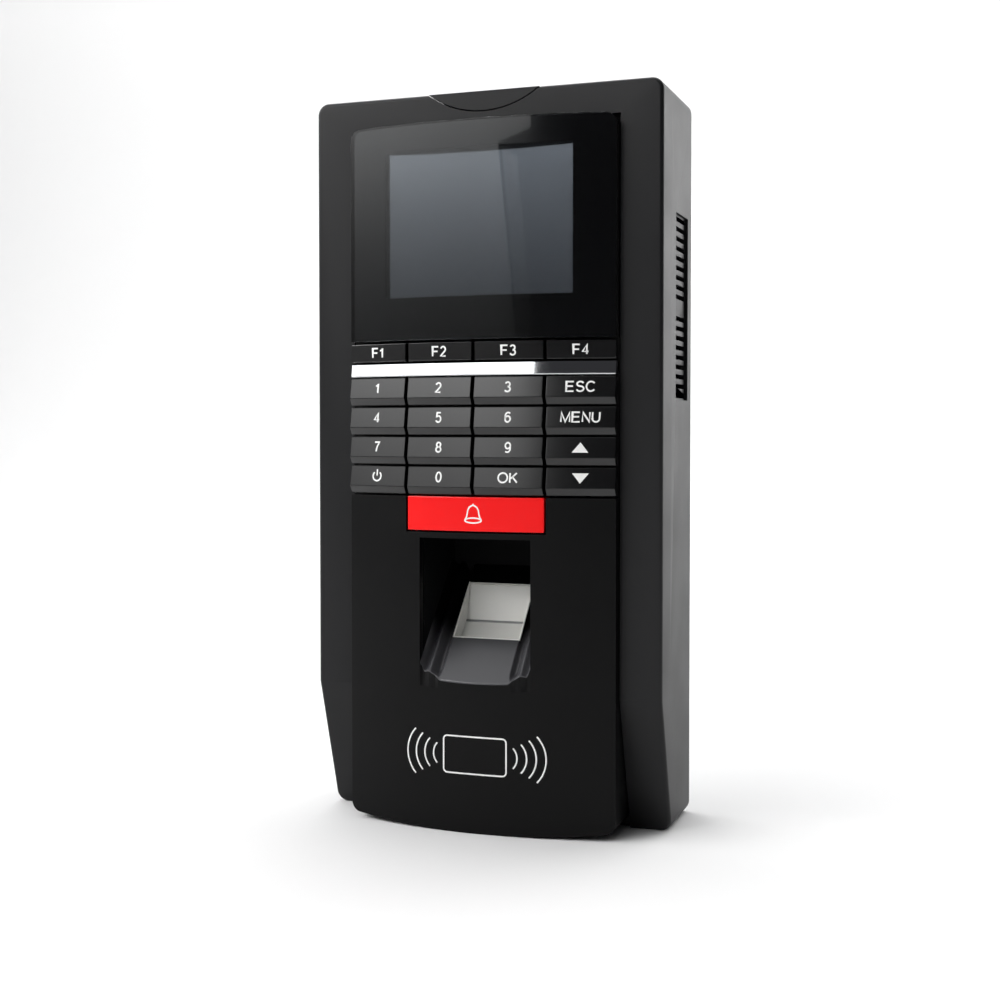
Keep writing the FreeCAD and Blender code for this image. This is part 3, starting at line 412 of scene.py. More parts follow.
def bow_normals(thing):
    """Gives every facet of a bowed face the normals of the true cylinder, so none of them shows."""
    mesh = thing.data
    normals = [corner.vector.copy() for corner in mesh.corner_normals]
    for face in mesh.polygons:
        tilt = math.asin(max(-1.0, min(1.0, face.normal.z)))
        side = 1 if face.normal.y < 0 else -1

        def bowed(x):
            turn = math.asin(max(-1.0, min(1.0, x / CROWN_RADIUS)))
            flat = math.cos(tilt)
            return Vector((side * flat * math.sin(turn), -side * flat * math.cos(turn), face.normal.z))

        if bowed(face.center.x).dot(face.normal) > math.cos(math.radians(2.2)):
            for loop in face.loop_indices:
                normals[loop] = bowed(mesh.vertices[mesh.loops[loop].vertex_index].co.x)
    mesh.normals_split_custom_set(normals)
    return thing


def ease(thing, width, segments=2, angle=32):
    """Bevels a piece's sharp edges by a width in millimetres and smooths its shading."""
    bevel = thing.modifiers.new("edge", "BEVEL")
    bevel.width = width * MM
    bevel.segments = segments
    bevel.limit_method = "ANGLE"
    bevel.angle_limit = math.radians(angle)
    bevel.harden_normals = True
    bevel.miter_outer = "MITER_ARC"
    for face in thing.data.polygons:
        face.use_smooth = True
    thing.data.set_sharp_from_angle(angle=math.radians(angle))
    return settle(thing)


def moulding(node, name, material, body, slot, width=0.2, segments=2):
    """A CAD part as it leaves its mould."""
    thing = ease(in_scene(name, welded(node)), width, segments)
    return dress(thing, material, body, slot, node)


def dress(thing, material, body, slot, *nodes):
    """Gives a piece its material and its body and hides the CAD nodes that it stands for; slot is not
    used.
    """
    thing.data.materials.clear()
    thing.data.materials.append(material)
    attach(thing, body)
    if nodes:
        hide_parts(*nodes)
    return thing


moulding("front_shell", "front_shell_moulding", case_abs, "case", "case_plastic", 0.35, 3)
moulding("rear_shell", "rear_shell_moulding", case_abs, "case", "case_plastic", 0.25)
panel = moulding("centre_panel", "centre_panel_moulding", panel_abs, "case", "case_plastic", 0.3, 3)
moulding("port_cover", "port_cover_moulding", case_abs, "port_cover", "case_plastic", 0.2)
moulding("wall_plate", "wall_plate_sheet", zinc_sheet, "case", "steel", 0.15)

# %% [markdown]
# ## Finger ramp
#
# The finger slides over a lip and up a ramp to the sensor. Flanks rise on both sides of the ramp
# and guide the finger, and a groove opens between each flank and the ramp. The surface follows a
# rule, so it is drawn as a grid whose height depends on the place across and up the slope. The
# panel gets a slot that it fits into, cut after the panel's edges are eased, so that no bevel
# opens the joint at the front.

# %% The slope's own frame
SLOPE_LEAN = math.radians(42.7)
LIP_AHEAD, LIP_LEVEL = 3.3 * MM, -54.7 * MM
LIP = Vector((0.0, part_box("finger_well")[0].y - LIP_AHEAD, LIP_LEVEL))
UP = Vector((0.0, math.sin(SLOPE_LEAN), math.cos(SLOPE_LEAN)))
OUT = Vector((0.0, -math.cos(SLOPE_LEAN), math.sin(SLOPE_LEAN)))
ACROSS = Vector((1.0, 0.0, 0.0))
RAMP_HALF = 14.7 * MM
RAMP_SUNK = 1.7 * MM
RAMP_LENGTH = 36.4 * MM
SLOT_AHEAD, SLOT_OVER = 8 * MM, 4 * MM
PRISM_LOW, PRISM_HIGH, PRISM_HALF = 12.75 * MM, 30.75 * MM, 9.25 * MM


def on_slope(x, up, out):
    """A point from its places across the slope, up it from the lip, and out of it."""
    return LIP + ACROSS * x + UP * up + OUT * out


def slope_box(name, x, up, out):
    """A box in the slope's frame, from a low and a high place on each axis."""
    work = bmesh.new()
    for vertex in bmesh.ops.create_cube(work, size=1.0)["verts"]:
        places = [low + (high - low) * (c + 0.5) for c, (low, high) in zip(vertex.co, (x, up, out))]
        vertex.co = on_slope(*places)
    bmesh.ops.recalc_face_normals(work, faces=work.faces)
    return in_scene(name, as_mesh(work, name))


def carve(thing, tool):
    """Cuts a tool out of a piece and deletes the tool."""
    bite = thing.modifiers.new("bite", "BOOLEAN")
    bite.object = tool
    bite.solver = "EXACT"
    settle(thing)
    bpy.data.objects.remove(tool)
    return thing


ramp_room = ((-RAMP_HALF, RAMP_HALF), (-SLOT_AHEAD, RAMP_LENGTH), (-RAMP_SUNK, SLOT_OVER))
carve(panel, slope_box("ramp_slot", *ramp_room))
bow_normals(panel)

# %% [markdown]
# ## Funnel
#
# Behind the finger window stands a dead-matt black funnel, which keeps stray light off the sensor.
# It is one channel, with two cheeks and a roof, closed by a back wall. Its foot follows the slope.

# %% Channel and back wall


def slope_level(y, out):
    """Height of a face parallel to the slope at depth y."""
    up = (y - LIP.y + out * math.cos(SLOPE_LEAN)) / math.sin(SLOPE_LEAN)
    return on_slope(0.0, up, out).z


def make_funnel():
    """The channel follows the slope along its foot, where the ramp closes it."""
    low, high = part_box("finger_well")
    wall = high.x - RAMP_HALF
    outline = [(-high.x, None), (-high.x, high.z), (high.x, high.z), (high.x, None)]
    outline += [(RAMP_HALF, None), (RAMP_HALF, high.z - wall), (-RAMP_HALF, high.z - wall)]
    outline += [(-RAMP_HALF, None)]
    work = bmesh.new()
    ends = []
    for y in (low.y, high.y):
        foot = slope_level(y, -RAMP_SUNK)
        ends.append([work.verts.new((x, y, foot if z is None else z)) for x, z in outline])
    skirt(work, *ends)
    for end in ends:
        work.faces.new([end[0], end[1], end[6], end[7]])
        work.faces.new([end[1], end[2], end[5], end[6]])
        work.faces.new([end[2], end[3], end[4], end[5]])
    back = bmesh.ops.create_cube(work, size=1.0)["verts"]
    foot = slope_level(high.y - wall, -RAMP_SUNK)
    for vertex in back:
        vertex.co.x *= 2 * RAMP_HALF
        vertex.co.y = high.y - wall * (0.5 - vertex.co.y)
        vertex.co.z = high.z - wall if vertex.co.z > 0 else foot
    bmesh.ops.recalc_face_normals(work, faces=work.faces)
    return in_scene("finger_well_funnel", as_mesh(work, "finger_well_funnel"))


dress(make_funnel(), well_abs, "case", "well_plastic", "finger_well")

# %% [markdown]
# ## Ramp surface
#
# At the lip the flanks rise smoothly from the ramp. Further in, a gutter and a ridge run up each
# side. One height rule blends the two profiles. Up the slope the colour and gloss are darkened:
# painted shade, from the lit satin lip to a near black inside.

# %% Ramp


def ease_in(value, low, high):
    """Runs smoothly from 0 at low to 1 at high."""
    share = min(1.0, max(0.0, (value - low) / (high - low)))
    return share * share * (3 - 2 * share)


def ramp_height(x, up):
    """How far the surface stands out of the slope: a plain lip that deepens into a fluted gutter."""
    aside = abs(x) / MM
    at_lip = 1.15 * ease_in(aside, 8.8, 10.9) + 0.35 * ease_in(aside, 11.0, 13.0)
    at_lip += 1.2 * ease_in(aside, 13.5, 14.8)
    inside = -1.35 * ease_in(aside, 8.9, 9.8) + 2.3 * ease_in(aside, 10.2, 12.0)
    inside += -1.1 * ease_in(aside, 12.1, 13.5) + 2.4 * ease_in(aside, 13.5, 14.9)
    deep = ease_in(up / MM, -0.6, 3.6)
    return (at_lip * (1 - deep) + inside * deep) * MM


def front_reach(x, out):
    """Place up the slope where a face standing out of it meets the panel's bowed front."""
    return (crown_y(x) - LIP.y + out * math.cos(SLOPE_LEAN)) / math.sin(SLOPE_LEAN)


LIP_ROUND = 0.35 * MM


def ramp_line(x):
    """Points up one column of the surface: round the lip first, then evenly to the end."""
    start = front_reach(x, ramp_height(x, 0.0) - LIP_ROUND)
    points = []
    for turn in (0, 20, 40, 60, 90):
        along = LIP_ROUND * (1 - math.cos(math.radians(turn)))
        drop = LIP_ROUND * (1 - math.sin(math.radians(turn)))
        points.append((start + along, ramp_height(x, start + along) - drop))
    first = start + LIP_ROUND
    steps = 50
    for step in range(1, steps + 1):
        up = first + (RAMP_LENGTH - first) * step / steps
        for edge in (PRISM_LOW, PRISM_HIGH):
            if abs(up - edge) < 0.37 * MM:
                up = edge
        points.append((up, ramp_height(x, up)))
    return points


def make_ramp():
    """The grid of the surface and its underside, with walls all round and at the prism's hole."""
    columns = [RAMP_HALF * (step / 60 - 1) for step in range(121)]
    columns = sorted(set(columns) | {-PRISM_HALF, PRISM_HALF})
    work = bmesh.new()
    over, under = [], []
    for x in columns:
        line = ramp_line(x)
        over.append([work.verts.new(on_slope(x, up, out)) for up, out in line])
        begin = front_reach(x, -RAMP_SUNK)
        share = (RAMP_LENGTH - begin) / (RAMP_LENGTH - line[0][0])
        foot = [RAMP_LENGTH - (RAMP_LENGTH - up) * share for up, out in line]
        foot = [up if up in (PRISM_LOW, PRISM_HIGH) else low for (up, out), low in zip(line, foot)]
        under.append([work.verts.new(on_slope(x, up, -RAMP_SUNK)) for up in foot])
    partner = {top: foot for line, feet in zip(over, under) for top, foot in zip(line, feet)}
    for column in range(len(columns) - 1):
        for row in range(len(over[0]) - 1):
            ring = [(column, row), (column + 1, row), (column + 1, row + 1), (column, row + 1)]
            middle = sum((over[c][r].co for c, r in ring), Vector()) / 4 - LIP
            if abs(middle.x) < PRISM_HALF and PRISM_LOW < middle.dot(UP) < PRISM_HIGH:
                continue
            work.faces.new([over[c][r] for c, r in ring]).smooth = True
            work.faces.new([under[c][r] for c, r in ring[::-1]])
    front = {line[0] for line in over}
    for edge in [edge for edge in work.edges if edge.is_boundary and edge.verts[0] in partner]:
        first, second = edge.verts
        wall = work.faces.new((first, second, partner[second], partner[first]))
        wall.material_index = 1 if {first, second} <= front else 0
    bmesh.ops.delete(work, geom=[v for v in work.verts if not v.link_faces], context="VERTS")
    bmesh.ops.recalc_face_normals(work, faces=work.faces)
    thing = in_scene("finger_ramp", as_mesh(work, "finger_ramp"))
    for finish in (ramp_abs, panel_abs):
        thing.data.materials.append(finish)
    thing.data.set_sharp_from_angle(angle=math.radians(50))
    return thing


def paint_shade_inward(material, begin, end, share):
    """Darkens a moulded finish's colour and gloss up the slope, as painted shade that deepens inwards.
    """
    tree = material.node_tree
    shader = tree.nodes["Principled BSDF"]
    place = add_node(tree, "ShaderNodeTexCoord").outputs["Object"]
    up = add_node(tree, "ShaderNodeVectorMath", [(0, place), (1, UP)], operation="DOT_PRODUCT")
    first = LIP.dot(UP)
    fade = add_node(
        tree,
        "ShaderNodeMapRange",
        [
            ("Value", up.outputs["Value"]),
            ("From Min", first + begin),
            ("From Max", first + end),
            ("To Min", 1.0),
            ("To Max", share),
        ],
        interpolation_type="SMOOTHSTEP",
    ).outputs["Result"]
    colour = shader.inputs["Base Color"].links[0].from_socket
    dimmed = add_node(tree, "ShaderNodeVectorMath", [(0, colour), ("Scale", fade)], operation="SCALE")
    tree.links.new(dimmed.outputs["Vector"], shader.inputs["Base Color"])
    level = add_node(tree, "ShaderNodeMath", [(0, fade), (1, 0.5)], operation="MULTIPLY")
    tree.links.new(level.outputs[0], shader.inputs["Specular IOR Level"])


# Painted shade: between 8 and 19 mm up the slope the ramp's colour and gloss fall to 3 %.
paint_shade_inward(ramp_abs, 8 * MM, 19 * MM, 0.03)
ramp = bow_normals(make_ramp())
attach(ramp, "case")
print("ramp faces:", len(ramp.data.polygons))

# %% [markdown]
# ## Sensor prism
#
# Under the finger lies a glass prism. Looking in, one sees its two pale inner faces meet in a dark
# line, and a slice of its side. Real refraction would need many light bounces in a small dark
# hole, so its light and shade are painted: a holder painted pale for the light in the faces, with
# a V-shaped hollow and a dark seam of painted shade along its fold, under a thin clear plate.

# %% Prism holder, its dark seam and its clear plate
prism_up = (PRISM_LOW + 0.15 * MM, PRISM_HIGH - 0.15 * MM)
prism_half = PRISM_HALF - 0.15 * MM
PRISM_SINK, PLATE_GAUGE, PRISM_WALL, HOLDER_DEEP = 0.3 * MM, 0.5 * MM, 0.35 * MM, 6.4 * MM
SEAM_UP, SEAM_DEEP, FOOT_DEEP = 8.5 * MM, 4.8 * MM, 4.0 * MM


def slope_profile(name, half, corners):
    """A solid across the slope from an outline of (up, out) corners."""
    work = bmesh.new()
    ends = [[work.verts.new(on_slope(x, up, out)) for up, out in corners] for x in (-half, half)]
    work.faces.new(ends[0])
    work.faces.new(ends[1][::-1])
    skirt(work, *ends)
    bmesh.ops.recalc_face_normals(work, faces=work.faces)
    return in_scene(name, as_mesh(work, name))


low_up, high_up = prism_up
holder_room = ((-prism_half, prism_half), prism_up, (-HOLDER_DEEP, -PRISM_SINK))
holder = slope_box("sensor_prism_holder", *holder_room)
hollow = slope_profile(
    "hollow",
    prism_half - PRISM_WALL,
    [
        (low_up + PRISM_WALL, 1 * MM),
        (high_up - PRISM_WALL, 1 * MM),
        (high_up - PRISM_WALL, -PRISM_SINK - PLATE_GAUGE - 0.1 * MM),
        (low_up + SEAM_UP, -SEAM_DEEP),
        (low_up + PRISM_WALL, -FOOT_DEEP),
    ],
)
carve(holder, hollow)
dress(holder, prism_painted_light_abs, "case", "prism_glass", "sensor_prism")
# The seam is painted shade: a dark sliver along the fold of the pale hollow.
seam_line = slope_profile(
    "sensor_prism_seam",
    prism_half - PRISM_WALL,
    [
        (low_up + SEAM_UP - 0.35 * MM, -SEAM_DEEP + 0.02 * MM),
        (low_up + SEAM_UP + 0.3 * MM, -SEAM_DEEP + 0.2 * MM),
        (low_up + SEAM_UP, -SEAM_DEEP - 0.2 * MM),
    ],
)
dress(seam_line, prism_seam_painted_shade, "case", "prism_glass")
plate_half = prism_half - PRISM_WALL
clear_plate = slope_box(
    "sensor_prism_plate",
    (-plate_half, plate_half),
    (low_up + PRISM_WALL, high_up - PRISM_WALL),
    (-PRISM_SINK - PLATE_GAUGE, -PRISM_SINK - 0.02 * MM),
)
dress(ease(clear_plate, 0.08), clear_glass, "case", "prism_glass")

# %% [markdown]
# ## Display window
#
# The window is one bent sheet with two rounded upper corners. It is drawn as a fine grid of narrow
# columns on the panel's own cylinder, because a mirror-like face shows every facet, and then gets
# its thickness. The ink border is the same sheet with a hole, laid just inside the inner face.

# %% Window, ink border and display
lens_low, lens_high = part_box("display_lens")
WINDOW_ROUND = 2.8 * MM
LENS_GAUGE = 1.4 * MM
CLEAR_HALF = 24.7 * MM
CLEAR_LOW, CLEAR_HIGH = lens_high.z - 43.5 * MM, lens_high.z - 6.7 * MM


def bowed_sheet(name, columns, levels, inset, gauge, keep=lambda x, z: True):
    """A bent sheet of columns; levels gives a column's heights and keep says which cells exist."""
    work = bmesh.new()
    grid = [[work.verts.new((x, crown_y(x, inset), z)) for z in levels(x)] for x in columns]
    for left, right in zip(grid, grid[1:]):
        for lower in range(len(left) - 1):
            corners = (left[lower], right[lower], right[lower + 1], left[lower + 1])
            middle = sum((corner.co for corner in corners), Vector()) / 4
            if keep(middle.x, middle.z):
                work.faces.new(corners)
    thing = in_scene(name, as_mesh(work, name))
    thick = thing.modifiers.new("gauge", "SOLIDIFY")
    thick.thickness = gauge
    thick.offset = -1.0
    return settle(thing)


def lens_top(x):
    """Height of the window's upper edge at x, with its rounded corners."""
    over = abs(x) - (lens_high.x - WINDOW_ROUND)
    drop = WINDOW_ROUND - math.sqrt(max(0.0, WINDOW_ROUND ** 2 - max(0.0, over) ** 2))
    return lens_high.z - drop


def even_columns(half, count):
    """Column places, closer together over the rounded corners."""
    corner = [half - WINDOW_ROUND * (1 - math.sin(math.pi / 2 * step / 8)) for step in range(9)]
    inner = [(half - WINDOW_ROUND) * (2 * step / count - 1) for step in range(1, count)]
    return sorted([-x for x in corner] + inner + corner)


lens = bowed_sheet(
    "display_lens_window",
    even_columns(lens_high.x, 56),
    lambda x: (lens_low.z, lens_top(x)),
    0.0,
    LENS_GAUGE,
)
dress(ease(lens, 0.2, 3), clear_acrylic, "case", "lens_plastic", "display_lens")
mask_columns = sorted(even_columns(lens_high.x - 0.3 * MM, 56) + [-CLEAR_HALF, CLEAR_HALF])
mask = bowed_sheet(
    "lens_ink_border",
    mask_columns,
    lambda x: (lens_low.z + 0.3 * MM, CLEAR_LOW, CLEAR_HIGH, lens_top(x) - 0.3 * MM),
    LENS_GAUGE - 0.1 * MM,
    0.04 * MM,
    lambda x, z: abs(x) > CLEAR_HALF or not CLEAR_LOW < z < CLEAR_HIGH,
)
dress(mask, border_ink, "case", "lens_plastic")

# %% [markdown]
# ## Bright trim
#
# The plated strip leans back a few degrees, so it mirrors the lit upper half of the room rather
# than the floor. The CAD bar is copied and its front face sheared back from its lower edge.

# %% Trim strip
STRIP_LEAN = 10.0
strip_low, strip_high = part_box("trim_strip")
strip = in_scene("trim_strip_plated", welded("trim_strip"))
for vertex in strip.data.vertices:
    if vertex.co.y < strip_high.y - 1.5 * MM:
        vertex.co.y += (vertex.co.z - strip_low.z) * math.tan(math.radians(STRIP_LEAN))
dress(bow_normals(ease(strip, 0.3, 3)), chrome, "case", "bright_trim", "trim_strip")

# %% [markdown]
# ## Keys
#
# A number key's face leans out towards its lower edge and then turns back in, so that a finger
# finds it. Both faces follow the panel's bow, and the fold between them is level. The CAD solid is
# kept for its stem and its hollow, and its front corners are moved onto that rule. A red key and
# the four narrow keys have plain bowed faces.

# %% Keycaps
KEY_LEAN = math.radians(10.9)
KEY_FACE = 5.2 * MM


def fold_front(thing, node):
    """Moves the front corners of a folded keycap onto the level fold and its two bowed faces."""
    low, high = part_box(node)
    rise = KEY_FACE * math.tan(KEY_LEAN)
    fold = high.z - KEY_FACE
    for vertex in thing.data.vertices:
        x, y, z = vertex.co
        if y > crown_y(x) + 0.7 * MM:
            continue
        if low.z + 0.1 * MM < z < high.z - 0.1 * MM:
            z = fold
        out = (high.z - z) * math.tan(KEY_LEAN)
        if z < fold:
            out = rise * (z - low.z) / (fold - low.z)
        vertex.co = (x, crown_y(x) - out, z)


caps = {}
for node in frame["bodies"]:
    if node in ("case", "port_cover"):
        continue
    cap = in_scene(f"{node}_cap", welded(node))
    if node != "bell_key" and not node.startswith("soft"):
        fold_front(cap, node)
    ease(cap, 0.2, 2, 25)
    bow_normals(cap)
    finish = (red_abs, "red_key") if node == "bell_key" else (key_abs, "key_plastic")
    caps[node] = dress(cap, finish[0], node, finish[1], node)
print("keycaps:", len(caps))

# %% [markdown]
# ## Printed marks
#
# Legends are pad-printed: a film of white ink a few hundredths of a millimetre thick that follows
# the key. Each mark is drawn flat, cut into short edges, and every corner is dropped onto the cap
# behind it. A thickness then makes the film a closed solid.

# %% Flat marks and how they are laid on a face


def flat_shape(outline):
    """A filled flat mesh from its corners."""
    work = bmesh.new()
    work.faces.new([work.verts.new((x, y, 0)) for x, y in outline])
    return as_mesh(work, "shape")


def stroke(*lines, width=0.4 * MM):
    """Flat ribbons along lines of points; a line that ends where it starts is closed."""
    work = bmesh.new()
    for line in lines:
        closed = (Vector(line[0]) - Vector(line[-1])).length < 1e-9
        points = [Vector((x, y, 0)) for x, y in (line[:-1] if closed else line)]
        count = len(points)
        pairs = []
        for step, point in enumerate(points):
            before = points[step - 1] if closed or step else points[step]
            after = points[(step + 1) % count] if closed or step < count - 1 else points[step]
            way = (after - before).normalized()
            side = Vector((-way.y, way.x, 0)) * width / 2
            if closed or 0 < step < count - 1:
                into = (point - before).normalized()
                side /= max(0.5, abs(into.dot(way)))
            pairs.append((work.verts.new(point + side), work.verts.new(point - side)))
        for step in range(count if closed else count - 1):
            first, second = pairs[step], pairs[(step + 1) % count]
            work.faces.new((first[0], first[1], second[1], second[0]))
    return as_mesh(work, "stroke")


def arc(centre, radii, start, end, steps=24):
    """Points along part of an ellipse; angles in degrees."""
    turns = [math.radians(start + (end - start) * step / steps) for step in range(steps + 1)]
    return [
        (centre[0] + radii[0] * math.cos(turn), centre[1] + radii[1] * math.sin(turn)) for turn in turns
    ]


def print_on(name, flat, centre, target, body, material, slot, longest=0.6):
    """Lays a flat mark on a piece's front face, centred at (x, z), as a film of ink."""
    work = bmesh.new()
    work.from_mesh(flat)
    bmesh.ops.remove_doubles(work, verts=work.verts, dist=1e-7)
    for _ in range(6):
        long_edges = [edge for edge in work.edges if edge.calc_length() > longest * MM]
        if not long_edges:
            break
        bmesh.ops.subdivide_edges(work, edges=long_edges, cuts=1)
        bmesh.ops.triangulate(work, faces=[face for face in work.faces if len(face.verts) > 4])
    skin = bmesh.new()
    skin.from_mesh(target.data)
    tree = BVHTree.FromBMesh(skin)
    skin.free()
    for vertex in work.verts:
        x, z = centre[0] + vertex.co.x, centre[1] + vertex.co.y
        hit = tree.ray_cast(Vector((x, -0.1, z)), Vector((0, 1, 0)))[0]
        vertex.co = (x, hit.y, z)
    bmesh.ops.recalc_face_normals(work, faces=work.faces)
    for face in work.faces:
        if face.normal.y > 0:
            face.normal_flip()
    thing = in_scene(name, as_mesh(work, name))
    film_gauge = thing.modifiers.new("film", "SOLIDIFY")
    film_gauge.thickness = 0.05 * MM
    film_gauge.offset = 0.2
    return dress(settle(thing), material, body, slot)


white_ink = moulded("pad_printed_white_ink", "f2f2f0", "f8f8f6", 0.5, 0.15, 0.002)

# %% [markdown]
# ## Lettering
#
# The legends are plain grotesque capitals and figures. They are drawn as strokes on a cell one
# unit high, from straight lines and parts of ellipses, because a drawn stroke keeps one width and
# stays a clean ribbon when it is laid on a bowed key.

# %% Letters and figures as strokes
LEGEND_HEIGHT, LEGEND_STROKE = 2.75 * MM, 0.4 * MM


def round_part(x, y, across, tall, start=0, end=360):
    """Part of an ellipse as a list of points."""
    return arc((x, y), (across, tall), start, end, max(8, abs(end - start) // 12))


SIX = [round_part(0.3, 0.31, 0.27, 0.31), round_part(0.33, 0.6, 0.3, 0.4, 48, 180) + [(0.03, 0.31)]]
GLYPHS = {
    "0": [round_part(0.29, 0.5, 0.28, 0.5)],
    "1": [[(0.0, 0.74), (0.17, 0.8), (0.3, 1.0), (0.3, 0.0)]],
    "2": [round_part(0.29, 0.72, 0.26, 0.28, 165, -38) + [(0.01, 0.0), (0.58, 0.0)]],
    "3": [round_part(0.28, 0.76, 0.24, 0.24, 160, -90), round_part(0.28, 0.26, 0.28, 0.26, 90, -160)],
    "4": [[(0.43, 0.0), (0.43, 1.0), (0.0, 0.27), (0.6, 0.27)]],
    "5": [[(0.53, 1.0), (0.12, 1.0), (0.05, 0.5)] + round_part(0.28, 0.32, 0.28, 0.32, 142, -155)],
    "6": SIX,
    "7": [[(0.0, 1.0), (0.57, 1.0), (0.32, 0.55), (0.2, 0.0)]],
    "8": [round_part(0.29, 0.76, 0.23, 0.24), round_part(0.29, 0.26, 0.28, 0.26)],
    "9": [[(0.6 - x, 1.0 - y) for x, y in line] for line in SIX],
    "C": [round_part(0.45, 0.5, 0.45, 0.5, 40, 320)],
    "E": [[(0.74, 1.0), (0.0, 1.0), (0.0, 0.0), (0.76, 0.0)], [(0.0, 0.53), (0.68, 0.53)]],
    "F": [[(0.66, 1.0), (0.0, 1.0), (0.0, 0.0)], [(0.0, 0.51), (0.58, 0.51)]],
    "K": [[(0.0, 0.0), (0.0, 1.0)], [(0.72, 1.0), (0.0, 0.36)], [(0.26, 0.6), (0.77, 0.0)]],
    "M": [[(0.0, 0.0), (0.0, 1.0), (0.44, 0.02), (0.88, 1.0), (0.88, 0.0)]],
    "N": [[(0.0, 0.0), (0.0, 1.0), (0.72, 0.0), (0.72, 1.0)]],
    "O": [round_part(0.5, 0.5, 0.5, 0.5)],
    "S": [
        round_part(0.38, 0.76, 0.33, 0.24, 20, 250) + round_part(0.38, 0.26, 0.36, 0.26, 70, -162)
    ],
    "U": [[(0.0, 1.0), (0.0, 0.34)] + round_part(0.36, 0.34, 0.36, 0.34, 180, 360) + [(0.72, 1.0)]],
}


def lettered(word, gap=0.28):
    """A word as flat ribbons, centred on the origin."""
    lines, place = [], 0.0
    for letter in word:
        wide = max(x for line in GLYPHS[letter] for x, y in line)
        lines += [[(x + place, y) for x, y in line] for line in GLYPHS[letter]]
        place += wide + gap
    tall = LEGEND_HEIGHT - LEGEND_STROKE
    middle = (place - gap) / 2
    lines = [[((x - middle) * tall, (y - 0.5) * tall) for x, y in line] for line in lines]
    return stroke(*lines, width=LEGEND_STROKE)


# %% Legends of the keys
WORDS = {
    "key_one": "1", "key_two": "2", "key_three": "3", "key_escape": "ESC",
    "key_four": "4", "key_five": "5", "key_six": "6", "key_menu": "MENU",
    "key_seven": "7", "key_eight": "8", "key_nine": "9",
    "key_zero": "0", "key_enter": "OK",
    "soft_key_1": "F1", "soft_key_2": "F2", "soft_key_3": "F3", "soft_key_4": "F4",
}
ARROW = [(-2.0 * MM, -1.2 * MM), (2.0 * MM, -1.2 * MM), (0.0, 1.3 * MM)]
power_mark = stroke(
    arc((0, 0), (1.2 * MM, 1.2 * MM), 130, 410),
    [(0, 0.1 * MM), (0, 0.9 * MM), (0, 1.7 * MM)],
    width=0.38 * MM,
)
marks = {node: lettered(word) for node, word in WORDS.items()}
marks["key_up"] = flat_shape(ARROW)
marks["key_down"] = flat_shape([(x, -y) for x, y in ARROW[::-1]])
marks["key_power"] = power_mark
for node, mark in marks.items():
    low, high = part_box(node)
    level = (low.z + high.z) / 2 if node.startswith("soft") else high.z - KEY_FACE / 2
    place = ((low.x + high.x) / 2, level)
    print_on(f"{node}_legend", mark, place, caps[node], node, white_ink, "key_plastic")

# %% Bell on the red key
BELL_SIDE = [(-2.15, -1.35), (-1.75, -0.75), (-1.55, 0.1), (-1.4, 1.0), (-1.0, 1.75), (-0.35, 2.15)]
side = [(x * MM, y * MM) for x, y in BELL_SIDE]
bell = stroke(
    side + [(0.0, 2.22 * MM)] + [(-x, y) for x, y in side[::-1]],
    arc((0, -1.55 * MM), (2.15 * MM, 0.62 * MM), 0, 360, 36),
    [(0, 2.2 * MM), (0, 2.6 * MM)],
    width=0.36 * MM,
)
low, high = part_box("bell_key")
middle = (0.0, (low.z + high.z) / 2)
print_on("bell_key_legend", bell, middle, caps["bell_key"], "bell_key", white_ink, "red_key")

# %% [markdown]
# ## Card mark
#
# The outline of a card with radio waves on both sides shows where a card is held. The waves repeat
# by a rule, each a little larger and further out, so Geometry Nodes place them: a row of points,
# an arc on each point scaled by its index, and a flat ribbon swept along all of them.

# %% Waves by Geometry Nodes
WAVES = {"Count": 4, "Radius": 3.65 * MM, "Growth": 1.52 * MM, "Start": 7.45 * MM, "Pitch": 0.92 * MM,
         "Width": 0.4 * MM}


